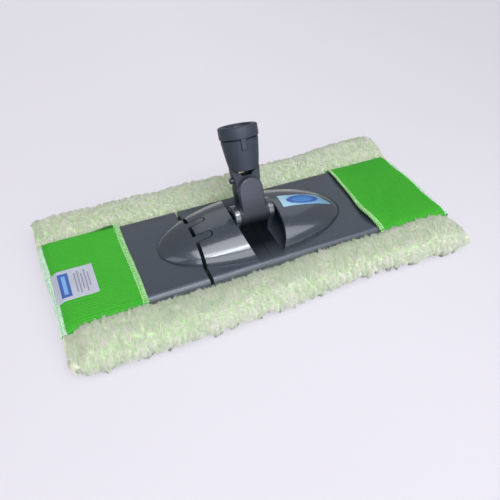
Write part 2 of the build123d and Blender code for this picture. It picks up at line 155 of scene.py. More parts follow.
# -------------------------------------------------------------------- meshes
def make_mesh(name, points, faces, *materials, smooth=True, slots=None):
    """An object from points in millimetres and a list of (n, corners) index arrays."""
    points = np.asarray(points, np.float32) * MM
    mesh = bpy.data.meshes.new(name)
    mesh.vertices.add(len(points))
    mesh.vertices.foreach_set("co", points.ravel())
    loops = np.concatenate([np.asarray(f, np.int32).ravel() for f in faces])
    sizes = np.concatenate([np.full(len(f), f.shape[1], np.int32) for f in faces])
    mesh.loops.add(len(loops))
    mesh.loops.foreach_set("vertex_index", loops)
    mesh.polygons.add(len(sizes))
    starts = np.concatenate([[0], np.cumsum(sizes)[:-1]]).astype(np.int32)
    mesh.polygons.foreach_set("loop_start", starts)
    mesh.update(calc_edges=True)
    mesh.polygons.foreach_set("use_smooth", np.full(len(sizes), smooth))
    for material in materials:
        mesh.materials.append(material)
    if slots is not None:
        mesh.polygons.foreach_set("material_index", np.asarray(slots, np.int32))
    mesh.validate()
    mesh.update()
    obj = bpy.data.objects.new(name, mesh)
    scene.collection.objects.link(obj)
    return obj


def grid_faces(rows, cols, wrap=False, flip=False, base=0):
    """Quads over a grid of vertices stored row by row; wrap closes each row on itself."""
    i = np.arange(rows - 1)[:, None]
    j = np.arange(cols if wrap else cols - 1)[None, :]
    j_next = (j + 1) % cols
    corners = [i * cols + j, (i + 1) * cols + j, (i + 1) * cols + j_next, i * cols + j_next]
    quads = np.stack(corners, -1).reshape(-1, 4) + base
    return quads[:, ::-1] if flip else quads


def fix_normals(obj):
    work = bmesh.new()
    work.from_mesh(obj.data)
    bmesh.ops.recalc_face_normals(work, faces=work.faces)
    work.to_mesh(obj.data)
    work.free()


def rim_outward(grid, i, j):
    """Direction out of the sheet at the border point (i, j)."""
    rows, cols, _ = grid.shape
    way = np.zeros(3)
    if i == 0:
        way += grid[0, j] - grid[1, j]
    if i == rows - 1:
        way += grid[-1, j] - grid[-2, j]
    if j == 0:
        way += grid[i, 0] - grid[i, 1]
    if j == cols - 1:
        way += grid[i, -1] - grid[i, -2]
    return unit(way)


def sheet(name, grid, thick, material):
    """A closed sheet centred on a grid of points (rows, cols, 3), with a rounded rim."""
    rows, cols, _ = grid.shape
    cross = np.cross(np.gradient(grid, axis=0), np.gradient(grid, axis=1))
    normal = unit(cross)
    if normal[..., 2].mean() < 0:
        normal = -normal
    flip = cross[..., 2].mean() < 0
    count = rows * cols
    border = (
        [(i, 0) for i in range(rows)]
        + [(rows - 1, j) for j in range(1, cols)]
        + [(i, cols - 1) for i in range(rows - 2, -1, -1)]
        + [(0, j) for j in range(cols - 2, 0, -1)]
    )
    top = np.array([i * cols + j for i, j in border])
    # a middle row of points pushed outwards rounds the edge
    outward = np.array([rim_outward(grid, i, j) for i, j in border])
    rim_points = grid.reshape(-1, 3)[top] + outward * thick * 0.35
    rim = 2 * count + np.arange(len(top))
    top_next, rim_next = np.roll(top, -1), np.roll(rim, -1)
    walls = [
        np.stack([top, top_next, rim_next, rim], -1),
        np.stack([rim, rim_next, count + top_next, count + top], -1),
    ]
    if not flip:
        walls = [wall[:, ::-1] for wall in walls]
    points = np.concatenate([
        (grid + normal * thick / 2).reshape(-1, 3),
        (grid - normal * thick / 2).reshape(-1, 3),
        rim_points,
    ])
    faces = [grid_faces(rows, cols, flip=flip), grid_faces(rows, cols, flip=not flip, base=count)]
    obj = make_mesh(name, points, faces + walls, material)
    fix_normals(obj)
    return obj


TUBE_SIDES = 6


def tubes(paths, radii):
    """Points and faces of closed tubes along paths (tube, point, 3), one radius for each."""
    count, length, _ = paths.shape
    along = unit(np.gradient(paths, axis=1))
    steep = np.abs(along[..., 2:3]) >= 0.9
    across = unit(np.cross(along, np.where(steep, np.array([1.0, 0, 0]), np.array([0, 0, 1.0]))))
    # carry the first direction along, so that a tube doesn't twist
    for k in range(1, length):
        carried = across[:, k - 1]
        lean = (carried * along[:, k]).sum(1, keepdims=True) * along[:, k]
        across[:, k] = unit(carried - lean)
    other = np.cross(along, across)
    angle = (np.arange(TUBE_SIDES) / TUBE_SIDES * TAU)[:, None]
    circle = np.cos(angle) * across[:, :, None, :] + np.sin(angle) * other[:, :, None, :]
    points = paths[:, :, None, :] + radii[:, None, None, None] * circle
    first = np.arange(count) * length * TUBE_SIDES
    ring = first[:, None, None] + np.arange(length - 1)[None, :, None] * TUBE_SIDES
    here = np.arange(TUBE_SIDES)
    after = (here + 1) % TUBE_SIDES
    corners = [ring + here, ring + after, ring + TUBE_SIDES + after, ring + TUBE_SIDES + here]
    start_caps = first[:, None] + here[::-1]
    end_caps = first[:, None] + (length - 1) * TUBE_SIDES + here
    quads = np.stack(corners, -1).reshape(-1, 4)
    return points.reshape(-1, 3), [quads, np.concatenate([start_caps, end_caps])]


def long_thread(path, radius):
    return tubes(path[None], np.array([radius]))


def thread_object(name, parts, material):
    """One object from several (points, faces) parts."""
    faces, offset = [], 0
    for points, part_faces in parts:
        faces += [f + offset for f in part_faces]
        offset += len(points)
    return make_mesh(name, np.concatenate([points for points, _ in parts]), faces, material)


def stand_in(obj, slot, *nodes):
    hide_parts(*nodes)


def fold(obj):
    """Bake the object's placement into its mesh."""
    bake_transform(obj)


# ------------------------------------------------------------ material helpers
def srgb(*channels):
    def linear(c):
        return c / 12.92 if c <= 0.04045 else ((c + 0.055) / 1.055) ** 2.4
    return tuple(linear(c / 255.0) for c in channels)


def scaled(colour, *factors):
    """The colour times one factor, or times one factor per channel."""
    return tuple(c * f for c, f in zip(colour, factors * 3 if len(factors) == 1 else factors))


class Graph:
    """Short ways to add nodes; a value may be a number, a colour or another node's output."""

    def __init__(self, tree):
        self.tree = tree
        self.coords = None

    def feed(self, socket, value):
        if isinstance(value, bpy.types.NodeSocket):
            self.tree.links.new(value, socket)
        elif isinstance(value, tuple) and socket.type == "RGBA":
            socket.default_value = (*value, 1)
        else:
            socket.default_value = value

    def node(self, kind, inputs, **settings):
        node = self.tree.nodes.new("ShaderNode" + kind)
        for name, value in settings.items():
            setattr(node, name, value)
        for key, value in inputs.items():
            self.feed(node.inputs[key], value)
        return node

    def position(self):
        """Object coordinates, in metres."""
        if self.coords is None:
            self.coords = self.node("TexCoord", {})
        return self.coords.outputs["Object"]

    def mapping(self, scale, rotation=(0, 0, 0)):
        inputs = {"Scale": scale, "Rotation": rotation, "Vector": self.position()}
        return self.node("Mapping", inputs).outputs[0]

    def noise(self, scale, detail=3.0, rough=0.5, at=None):
        inputs = {"Scale": scale, "Detail": detail, "Roughness": rough}
        inputs["Vector"] = at or self.position()
        return self.node("TexNoise", inputs).outputs["Fac"]

    def wave(self, scale, direction, distortion=0.0, detail=1.0):
        inputs = {"Scale": scale, "Distortion": distortion, "Detail": detail}
        inputs["Vector"] = self.position()
        return self.node("TexWave", inputs, bands_direction=direction).outputs["Fac"]

    def math(self, operation, *values):
        return self.node("Math", dict(enumerate(values)), operation=operation).outputs[0]

    def times(self, a, b):
        return self.math("MULTIPLY", a, b)

    def inverse(self, value):
        return self.math("SUBTRACT", 1.0, value)

    def ramp(self, value, stops):
        """A colour ramp through (position, colour) stops."""
        node = self.node("ValToRGB", {0: value})
        elements = node.color_ramp.elements
        for element, (position, colour) in zip(elements, (stops[0], stops[-1])):
            element.position, element.color = position, (*colour, 1)
        for position, colour in stops[1:-1]:
            elements.new(position).color = (*colour, 1)
        return node.outputs[0]

    def remap(self, value, source, target):
        inputs = {1: source[0], 2: source[1], 3: target[0], 4: target[1], 0: value}
        return self.node("MapRange", inputs).outputs[0]

    def remap_mm(self, value, source, target):
        """Remap a length, with the source range in millimetres."""
        return self.remap(value, tuple(v * MM for v in source), target)

    def mix(self, factor, a, b, mode="MIX"):
        inputs = {0: factor, 6: a, 7: b}
        return self.node("Mix", inputs, data_type="RGBA", blend_type=mode).outputs[2]

    def darken(self, colour, value):
        """The colour multiplied by a plain value."""
        grey = self.node("CombineColor", {0: value, 1: value, 2: value}).outputs[0]
        return self.mix(1.0, colour, grey, "MULTIPLY")

    def bump(self, height, strength, distance, normal=None):
        inputs = {"Strength": strength, "Distance": distance, "Height": height}
        if normal is not None:
            inputs["Normal"] = normal
        return self.node("Bump", inputs).outputs[0]

    def axis(self, which):
        return self.node("SeparateXYZ", {0: self.position()}).outputs[which]

    def off_middle(self, which):
        """Distance from the middle along one axis."""
        return self.math("ABSOLUTE", self.axis(which))


class Material(Graph):
    """A new material with one Principled surface."""

    def __init__(self, name):
        self.data = bpy.data.materials.new(name)
        self.data.use_nodes = True
        super().__init__(self.data.node_tree)
        self.tree.nodes.clear()
        output = self.node("OutputMaterial", {})
        self.shader = self.node("BsdfPrincipled", {})
        self.feed(output.inputs[0], self.shader.outputs[0])

    def socket(self, name):
        """The shader's input for a name such as base_color."""
        return self.shader.inputs[name.replace("_", " ").title().replace("Ior", "IOR")]

    def surface(self, **values):
        for name, value in values.items():
            self.feed(self.socket(name), value)

    def source(self, name):
        """What is linked to the shader's input now."""
        return self.socket(name).links[0].from_socket


# ---------------------------------------------------------- plastics and metals
def plastic(name, colour, rough, specular=0.5, grain=0.06, grain_scale=2200, blotch=0.12):
    m = Material(name)
    blotches = m.noise(30, detail=4, rough=0.6)
    fine = m.noise(grain_scale, detail=2)
    stops = [(0.3, scaled(colour, 1 - blotch)), (0.7, scaled(colour, 1 + blotch))]
    base = m.ramp(blotches, stops)
    # long faint rubbing marks along the frame
    stretched = m.mapping(scale=(14, 420, 160), rotation=(0, 0, 0.06))
    marks = m.remap(m.noise(1.0, rough=0.65, at=stretched), (0.35, 0.7), (0.0, 0.16))
    base = m.mix(marks, base, scaled(colour, 1.7))
    patches = m.noise(150, detail=4, rough=0.65)
    grained = m.bump(fine, strength=grain, distance=0.0003)
    m.surface(
        base_color=base,
        roughness=m.remap(patches, (0.3, 0.7), (rough - 0.04, rough + 0.05)),
        specular_ior_level=specular,
        coat_roughness=0.09,
        specular_tint=(0.80, 0.88, 1.0),
        normal=m.bump(m.noise(45, detail=2), strength=0.03, distance=0.0012, normal=grained),
    )
    return m


def frame_plastic():
    """The plates: glossier domes, a matt floor with painted shade between them, and a painted
    highlight along the long edges.
    """
    colour, edge_highlight_colour = (0.026, 0.034, 0.047), (0.17, 0.195, 0.25)
    rough, dome_rough = 0.33, 0.24
    specular, flat_coat = 1.0, 0.25
    m = plastic("frame_plastic", colour, rough, grain=0.015, grain_scale=900, blotch=0.05)
    raised = m.remap_mm(m.axis(2), (PLATE_TOP + 0.4, PLATE_TOP + 2.0), (0.0, 1.0))
    flat_rough = m.source("roughness")
    glossier = m.times(flat_rough, dome_rough / rough)
    inputs = {0: raised, 2: flat_rough, 3: glossier}
    roughness = m.node("Mix", inputs, data_type="FLOAT").outputs[0]

    off_x, off_y = m.off_middle(0), m.off_middle(1)
    # painted shade: the floor between the domes, under the block, is darkened almost to black and
    # made matt
    painted_shade_matt_valley = m.times(
        m.remap_mm(off_x, (13.2, 14.6), (1, 0)),
        m.remap_mm(off_y, (24, 56), (1, 0)),
    )
    painted_shade_matt_valley = m.times(painted_shade_matt_valley, m.inverse(raised))
    base = m.mix(painted_shade_matt_valley, m.source("base_color"), scaled(colour, 0.18))
    edge = m.remap_mm(off_y, (53.4, 54.6), (0.0, 1.0))
    coat = m.remap(m.math("MAXIMUM", raised, edge), (0.0, 1.0), (flat_coat, 1.0))

    # the plate's long edges roll over a little, with a painted highlight there: a lighter bluish
    # band
    roll = m.remap_mm(m.off_middle(1), (46.0, 55.0), (0.0, 1.0))
    rolled = m.inverse(m.times(roll, roll))
    painted_edge_highlight = m.times(m.times(roll, m.times(roll, roll)), 0.42)
    m.surface(
        base_color=m.mix(painted_edge_highlight, base, edge_highlight_colour),
        roughness=m.math("ADD", roughness, m.times(painted_shade_matt_valley, 0.2)),
        specular_ior_level=m.times(m.inverse(m.times(painted_shade_matt_valley, 0.9)), specular),
        coat_weight=m.times(coat, m.inverse(painted_shade_matt_valley)),
        coat_ior=1.6,
        normal=m.bump(rolled, strength=1.0, distance=0.0027, normal=m.source("normal")),
    )
    return m


def joint_plastic():
    """The swivel block, dusty, with painted shade darkening it low down."""
    specular = 0.6
    m = plastic("joint_plastic", (0.038, 0.043, 0.059), 0.38, specular=specular,
                grain=0.10, grain_scale=1800, blotch=0.15)
    # painted shade: colour and specular darken towards the bottom of the block
    shade = m.remap_mm(m.axis(2), (42, 72), (0.30, 1.0))
    m.surface(
        base_color=m.darken(m.source("base_color"), shade),
        specular_ior_level=m.times(shade, specular),
    )
    return m


def metal(name, colour, rough):
    m = Material(name)
    brushed = m.noise(1.0, rough=0.6, at=m.mapping(scale=(900, 900, 40)))
    m.surface(
        base_color=m.ramp(brushed, [(0.2, scaled(colour, 0.8)), (0.8, colour)]),
        roughness=m.remap(brushed, (0.2, 0.8), (rough - 0.06, rough + 0.12)),
        metallic=1.0,
        normal=m.bump(brushed, strength=0.12, distance=0.0003),
    )
    return m


def smooth_moulding(obj):
    """Smooth shading, with creases over 32 degrees kept sharp."""
    mesh = obj.data
    mesh.polygons.foreach_set("use_smooth", np.ones(len(mesh.polygons), bool))
    for attribute in ("custom_normal", "sharp_edge", "sharp_face"):
        if attribute in mesh.attributes:
            mesh.attributes.remove(mesh.attributes[attribute])
    weld = obj.modifiers.new("weld", "WELD")
    weld.merge_threshold = 2e-6
    edges = obj.modifiers.new("edges", "EDGE_SPLIT")
    edges.split_angle = math.radians(32)
    edges.use_edge_sharp = False


MOULDED = (
    (frame_plastic(), ("main_plate", "wing_plate")),
    (joint_plastic(), ("swivel_block",)),
    (plastic("socket_plastic", (0.024, 0.031, 0.044), 0.52, grain=0.14, grain_scale=1700,
             blotch=0.08), ("handle_socket", "socket_collar")),
    (plastic("sleeve_plastic", (0.10, 0.11, 0.14), 0.42, grain=0.1, blotch=0.08),
     ("grip_sleeve",)),
    (plastic("button_plastic", (0.026, 0.032, 0.043), 0.30, blotch=0.05), ("lock_button",)),
)
METALS = (
    (metal("steel", (0.60, 0.61, 0.63), 0.28), ("hinge_pins", "button_spring")),
    (metal("blackened_steel", (0.085, 0.090, 0.105), 0.42),
     ("tilt_axle", "axle_clip", "swing_pin")),
    (metal("magnet_nickel", (0.68, 0.66, 0.62), 0.22),
     ("latch_magnets_main", "latch_magnets_wing")),
)
for material, names in MOULDED + METALS:
    for name in names:
        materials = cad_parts[name].data.materials
        materials.clear()
        materials.append(material.data)
for _, names in MOULDED:
    for name in names:
        smooth_moulding(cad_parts[name])


# ------------------------------------------------------------- plush materials
# painted glow: the plush emits a faint light of its own, standing in for light that wanders
# between the fibres
PAINTED_PLUSH_GLOW = (0.72, 0.95, 0.60)     # light that wanders between the fibres
# strand slots: five plain tints, a green with painted shade for the grooves and, last, a grey with
# painted shade that doesn't glow
FIBRE_TINTS = (
    (238, 242, 217), (232, 240, 206), (214, 235, 192), (243, 245, 227), (241, 240, 203),
    (186, 218, 162), (112, 126, 102),
)
TINT_ORDER = np.array([2, 1, 0, 3, 4])      # plain tints from the greenest to the yellowest
PALE_GREEN, GROOVE_SHADE_GREEN, PAINTED_SHADE_GREY = 2, 5, 6


def plush_material():
    m = Material("plush_pile")
    big = m.noise(26)
    middle = m.noise(110, rough=0.55)
    fine = m.noise(620, rough=0.6)
    # the skin is a darker green than the strands: painted shade for the grooves where it shows
    # between them
    big_colour = m.ramp(big, [
        (0.28, srgb(164, 210, 140)), (0.44, srgb(184, 213, 162)),
        (0.60, srgb(198, 213, 176)), (0.76, srgb(208, 214, 164)),
    ])
    middle_colour = m.ramp(middle, [
        (0.28, srgb(170, 206, 148)), (0.5, srgb(190, 211, 170)), (0.75, srgb(210, 220, 194)),
    ])
    colour = m.mix(0.5, big_colour, middle_colour)
    colour = m.darken(colour, m.remap(fine, (0.25, 0.75), (0.93, 1.04)))
    # painted shade: the foot of the pile, next to the floor, is darkened
    foot = m.remap_mm(m.axis(2), (0.5, 6.5), (0.8, 0.0))
    streak = m.noise(1.0, rough=0.6, at=m.mapping(scale=(900, 500, 500)))
    fluff = m.bump(fine, strength=0.35, distance=0.0008)
    m.surface(
        base_color=m.mix(foot, colour, srgb(104, 118, 94)),
        roughness=0.95,
        specular_ior_level=0.1,
        subsurface_weight=0.25,
        subsurface_radius=(1.0, 1.0, 0.8),
        subsurface_scale=0.004,
        sheen_weight=0.25,
        sheen_roughness=0.6,
        # painted glow on the skin
        emission_color=PAINTED_PLUSH_GLOW,
        emission_strength=0.03,
        normal=m.bump(streak, strength=0.35, distance=0.001, normal=fluff),
    )
    return m.data


def fibre_material(index, colour):
    """One strand tint: part of the light goes through the thin fibre, and all but the grey with
    painted shade get a painted glow.
    """
    m = Material("plush_fibre_%d" % index)
    m.surface(
        base_color=colour,
        roughness=0.9,
        specular_ior_level=0.1,
        subsurface_weight=0.6,
        subsurface_radius=(1.0, 1.0, 0.9),
        subsurface_scale=0.002,
        sheen_weight=0.2,
        emission_color=PAINTED_PLUSH_GLOW,
        emission_strength=0.0 if index == PAINTED_SHADE_GREY else 0.078,
    )
    return m.data


PLUSH = plush_material()
FIBRES = [fibre_material(i, srgb(*tint)) for i, tint in enumerate(FIBRE_TINTS)]

# ---------------------------------------------------------------- the plush pad
PAD_END = 208.2                     # half length
# outer edges in plan: (x, y)
FRONT_EDGE = (
    (-209, -97.0), (-190, -98.0), (-157, -98.0), (-83, -99.0), (4, -96.5),
    (60, -93.5), (83, -92.5), (151, -95.0), (190, -97.0), (212, -97.5),
)
BACK_EDGE = (
    (-209, 97.8), (-190, 97.8), (-90, 96.6), (13, 97.6),
    (99, 99.2), (160, 102.0), (186, 103.5), (208, 102.5),
)
# how far the sewn ends are drawn in towards the middle: (y, distance)
LEFT_PULL = ((-100, 4.4), (-57, 3.9), (0, 1.6), (58, 0.2), (100, 0.0))
RIGHT_PULL = ((-58, -3.4), (0, -0.4), (58, 2.2))

# band cross-sections: (distance in from the outer edge, height), from the inner foot over the
# top to the floor
OUTER_FOOT = [(3.0, 3.6), (7.2, 1.4), (14.0, 0.5)]
FRONT_OUTSIDE = [(5.0, 22.4), (1.5, 18.2), (0.1, 13.0), (0.6, 8.0)] + OUTER_FOOT
BAND_PLATE = [                      # front band beside the plate
    (42.3, 15.0), (42.1, 18.6), (40.8, 21.3), (37.6, 23.4), (32.0, 24.8),
    (24.5, 25.6), (17.0, 25.7), (10.5, 24.9),
] + FRONT_OUTSIDE
BAND_POCKET = [                     # front band beside the pockets
    (41.4, 15.2), (41.9, 19.0), (41.2, 22.4), (38.4, 25.0), (32.6, 26.6),
    (25.0, 27.0), (17.0, 26.6), (10.5, 25.2),
] + FRONT_OUTSIDE
BAND_BACK = [
    (41.6, 15.0), (41.8, 17.6), (40.8, 21.0), (37.4, 24.4), (31.6, 26.8),
    (24.6, 28.2), (17.0, 28.8), (10.0, 28.4), (4.4, 26.4), (0.8, 22.0),
    (-0.4, 16.0), (0.2, 9.6), (2.8, 4.2), (7.0, 1.5), (14.0, 0.5),
]
SECTIONS = 470                      # cross-sections along the pad
BAND_COUNT, BOTTOM_COUNT, TOP_COUNT = 66, 32, 26
LOOP = 2 * BAND_COUNT + BOTTOM_COUNT + TOP_COUNT
BACK_START = BAND_COUNT + BOTTOM_COUNT
FOOT_Y = 98.5                       # edge from which the inner foot is placed
SQUEEZE_HEIGHT = 12.0               # the ends flatten towards this height
FRONT_LEFT_RADIUS, FRONT_RIGHT_RADIUS, BACK_RADIUS = 13.0, 3.0, 2.0

plate_band, pocket_band, back_band = (
    resample(band, BAND_COUNT) for band in (BAND_PLATE, BAND_POCKET, BAND_BACK)
)


def corner_cut(radius, from_end):
    """How far a rounded corner cuts in at a distance from the pad's end."""
    return radius - math.sqrt(radius**2 - (radius - min(from_end, radius)) ** 2)


def place_band(profile, x, edge, sign, cut, squeeze, tall=1.0):
    inset, height = profile.T
    y = edge - sign * (inset + cut * np.clip(1 - inset / 40.0, 0, 1))
    z = SQUEEZE_HEIGHT + (height * tall - SQUEEZE_HEIGHT) * squeeze
    # the inner foot always stands beside the plate
    foot = np.clip((inset - 30) / 10, 0, 1)
    y = y * (1 - foot) + sign * (FOOT_Y - inset) * foot
    return np.c_[np.full(BAND_COUNT, x), y, z]


def bridge(start, end, count):
    """Evenly spaced points between two others, ends left out."""
    return start + (end - start) * np.linspace(0, 1, count + 2)[1:-1, None]


def pad_section(x):
    """One closed loop: front band, bottom, back band, top."""
    from_end = min(x + PAD_END, PAD_END - x)
    front_radius = FRONT_LEFT_RADIUS if x < 0 else FRONT_RIGHT_RADIUS
    by_pocket = float(ease(118, 134, abs(x)))
    front = place_band(
        plate_band * (1 - by_pocket) + pocket_band * by_pocket,
        x, lookup(FRONT_EDGE, x), -1,
        cut=corner_cut(front_radius, from_end),
        squeeze=0.42 + 0.58 * float(ease(0, 22, from_end)),
    )
    back = place_band(
        back_band, x, lookup(BACK_EDGE, x), 1,
        cut=corner_cut(BACK_RADIUS, from_end),
        squeeze=0.80 + 0.20 * float(ease(0, 12, from_end)),
        tall=1.0 + 0.05 * float(ease(90, 180, x)),
    )[::-1]
    bottom = bridge(front[-1], back[0], BOTTOM_COUNT)
    return np.concatenate([front, bottom, back, bridge(back[-1], front[0], TOP_COUNT)])


def pad_grid():
    """The pad before fluffing, (section, loop point, 3)."""
    grid = np.array([pad_section(x) for x in np.linspace(-PAD_END, PAD_END, SECTIONS)])
    x, y, z = grid[..., 0], grid[..., 1], grid[..., 2]
    # the front right corner flares out, the back right end stays short
    x += 4.0 * ease(120, PAD_END, x) * ease(50, 97, -y)
    x -= 1.0 * ease(150, PAD_END, x) * ease(10, 95, y)
    # the left end runs a little askew
    x += lookup(LEFT_PULL, y) * ease(-130, -PAD_END, x)
    # the pile stands off the pockets along their back edge, most at the left one's open end
    rim = ease(76, 62, y) * ease(40, 52, y) * ease(16.5, 19.0, z)
    left_rim = 1.2 * ease(-205, -190, x) * ease(-122, -132, x)
    y += rim * (4.2 * bell(x, -137, 12.0) + left_rim + 1.3 * ease(118, 128, x))
    # and lies lower along the front of the plate, left of the middle
    front_rim = ease(-70, -59, y) * (y < 0) * ease(16.5, 19.0, z)
    z -= 1.1 * ease(-133, -124, x) * ease(60, -45, x) * front_rim
    return grid


def around(grid):
    return np.roll(grid, -1, axis=1) - np.roll(grid, 1, axis=1)


def skin_normals(grid):
    return unit(np.cross(around(grid), np.gradient(grid, axis=0)))


# Tufts in two sizes, and billows low on the outside. The strands gather on the same cells.
SMALL_STRETCH, SMALL_SIZE = np.array([1.12, 0.62, 0.74]), 6.0
BIG_STRETCH, BIG_SIZE = np.array([1.15, 0.85, 0.9]), 15.0
BILLOW_STRETCH, BILLOW_SIZE = np.array([1.0, 0.45, 0.5]), 12.5


def wander(points):
    return np.stack([value_noise(points, 20, seed) for seed in (5, 6, 7)], 1) * 6.0


def small_tufts(points):
    """Depth into a tuft from its border, and the nearest tuft centre."""
    first, second, centre = scatter_cells(points * SMALL_STRETCH, SMALL_SIZE, 31)
    return second - first, centre / SMALL_STRETCH


def big_tufts(points):
    first, second, _ = scatter_cells(points * BIG_STRETCH + wander(points), BIG_SIZE, 11)
    return second - first


def billows(points):
    moved = points * BILLOW_STRETCH + wander(points) * 0.8
    first, second, _ = scatter_cells(moved, BILLOW_SIZE, 51)
    return second - first


def tuft_strength(points):
    """Small tufts show more in some patches than in others."""
    return 0.25 + 0.75 * ease(-0.35, 0.35, value_noise(points, 30, 45))


def fluffed(points, normals):
    """The skin pushed in and out into tufts and billows."""
    def per_section(band, bottom, top):
        counts = (BAND_COUNT, BOTTOM_COUNT, BAND_COUNT, TOP_COUNT)
        return np.tile(np.repeat((band, bottom, band, top), counts), SECTIONS)

    on_band = per_section(True, False, False)
    big = ease(0.0, 0.5, big_tufts(points))
    small = 0.6 + (ease(0.0, 0.6, small_tufts(points)[0]) - 0.6) * tuft_strength(points)
    height = (
        1.2 * (big - 0.6)
        + 0.85 * (small - 0.6)
        + 1.4 * layered_noise(points, 34, 3, octaves=2)
        + 0.25 * value_noise(points, 2.6, 9)
    )
    low = ease(17, 5, points[:, 2]) * on_band
    height += low * 4.6 * (ease(0, 0.5, billows(points)) - 0.74)
    # calmer under the pad, near its ends and beside the plate
    from_end = np.minimum(points[:, 0] + PAD_END, PAD_END - points[:, 0])
    amount = per_section(1.0, 0.25, 0.1) * (0.3 + 0.7 * ease(0, 16, from_end))
    off_plate = np.clip((np.abs(points[:, 1]) - 56.0) / 8.0, 0, 1)
    amount = amount * np.where(on_band, 0.35 + 0.65 * off_plate, 1.0)
    moved = points + normals * (height * amount)[:, None]
    moved[:, 2] = np.maximum(moved[:, 2], 0.05)
    return moved


smooth_grid = pad_grid()
smooth_normals = skin_normals(smooth_grid)
comb_ways = unit(around(smooth_grid))
comb_ways[:, BACK_START:BACK_START + BAND_COUNT] *= -1     # always from the inner foot outwards
skin = fluffed(smooth_grid.reshape(-1, 3), smooth_normals.reshape(-1, 3))
# normals of the fluffed skin, used to shade the strands softly
fluffed_normals = skin_normals(skin.reshape(SECTIONS, LOOP, 3))
fluffed_normals *= np.sign((fluffed_normals * smooth_normals).sum(2, keepdims=True))
smooth_normals, comb_ways, fluffed_normals = (
    vectors.reshape(-1, 3) for vectors in (smooth_normals, comb_ways, fluffed_normals)
)

skin_quads = grid_faces(SECTIONS, LOOP, wrap=True)
pad_ends = np.stack([np.arange(LOOP)[::-1], np.arange(LOOP) + (SECTIONS - 1) * LOOP])
pad = make_mesh("plush_pad", skin, [skin_quads, pad_ends], PLUSH)
fix_normals(pad)
stand_in(pad, "plush_pile", "pile_main", "pile_wing")
fold(pad)

# ----------------------------------------------------------------- the strands
STRANDS_PER_ZONE = 32500
STRAND_LENGTH = 3.9
STRAND_WIDTH = 0.40
FIRST_STRAND_SEED = 301


def in_zone(points, x_range, y_range):
    x, y, z = points.T
    inside = (y > y_range[0]) & (y < y_range[1]) & (x > x_range[0]) & (x < x_range[1])
    return inside & (z > 1.2) & (np.abs(y) > 56.2)


def strand_roots(draws, x_range, y_range):
    """Random places on the skin, even by area, and the skin vertex each belongs to."""
    count = STRANDS_PER_ZONE
    a, b, c, d = (skin[skin_quads[:, k]] for k in range(4))
    areas = np.linalg.norm(np.cross(c - a, d - b), axis=1) / 2
    ids = np.where(in_zone((a + b + c + d) / 4, x_range, y_range))[0]
    pick = draws.choice(ids, size=count, p=areas[ids] / areas[ids].sum())
    u, v = draws.rand(count, 1), draws.rand(count, 1)
    a, b, c, d = a[pick], b[pick], c[pick], d[pick]
    return (a * (1 - u) + b * u) * (1 - v) + (d * (1 - u) + c * u) * v, skin_quads[pick, 0]


def strand_paths(draws, roots, vertex, centres):
    """Root, bend and tip of each strand."""
    count = len(roots)
    x, y, z = roots.T
    normal, comb = smooth_normals[vertex], comb_ways[vertex]
    # combed towards the plate on top, hanging down outside
    combed = -0.85 + 1.85 * ease(80, 95, np.abs(y)) + 0.35 * value_noise(roots, 24, 72)
    combed = combed[:, None] * comb
    sway = (value_noise(roots, 13, 71) * 0.9)[:, None] * np.array([1.0, 0, 0])
    gather = centres - roots
    gather -= (gather * normal).sum(1, keepdims=True) * normal
    gather /= SMALL_SIZE
    hang = ease(16, 6, z)[:, None] * np.array([0, 0, -1.0])
    lower = unit(0.8 * normal + 0.5 * combed + 0.22 * sway + 0.5 * gather
                 + draws.normal(0, 0.15, (count, 3)))
    upper = unit(0.42 * normal + 1.0 * combed + 0.5 * sway + 0.9 * gather + 0.5 * hang
                 + draws.normal(0, 0.2, (count, 3)))
    # a longer fringe beside the plate, trimmed along part of the front
    fringe = ease(63, 57, np.abs(y))
    trimmed = fringe * (y < 0) * ease(-134, -125, x) * ease(50, -50, x)
    length = STRAND_LENGTH * draws.uniform(0.6, 1.15, count)
    length = length * (1 + fringe * draws.uniform(0.1, 0.9, count)) * (1 - 0.24 * trimmed)
    length = length[:, None]
    root = roots - normal * 0.9
    bend = root + normal * 0.5 + lower * length * 0.45
    tip = bend + upper * length * 0.65
    paths = np.stack([root, bend, tip], 1)
    paths[..., 2] = np.maximum(paths[..., 2], 0.12)
    # the width axis comes from the path before it is kept off the floor
    return paths, unit(tip - root)


def strand_slots(draws, roots, normals, tuft_depth):
    """The material slot of each strand."""
    count = len(roots)
    z = roots[:, 2]
    tint = (value_noise(roots, 38, 91) * 0.8 + value_noise(roots, 9, 92) * 0.5
            + draws.normal(0, 0.45, count))
    slots = TINT_ORDER[np.digitize(tint, [-0.85, -0.35, 0.35, 0.95])]
    # painted shade: greener, partly darker strands where the light sinks in between the tufts
    groove_shade = (0.55 * tuft_strength(roots) * ease(0.22, 0.0, tuft_depth)
            + 0.8 * ease(0.16, 0.0, big_tufts(roots)))
    groove_shade = groove_shade > draws.uniform(0.2, 1.0, count)
    greens = np.where(draws.rand(count) < 0.6, PALE_GREEN, GROOVE_SHADE_GREEN)
    slots = np.where(groove_shade, greens, slots)
    # painted shade: a grey tint under the foot of the pile
    foot = ease(8.5, 2.5, z) * (normals[:, 2] < 0.35)
    slots = np.where(foot > draws.uniform(0.1, 1.0, count), PAINTED_SHADE_GREY, slots)
    # painted shade: grey strands in the shadowed gaps between the billows that stand on the floor
    gap = ease(12.5, 5.0, z) * ease(0.34, 0.05, billows(roots)) * (normals[:, 2] < 0.6)
    return np.where(gap > draws.uniform(0.2, 1.0, count), PAINTED_SHADE_GREY, slots)


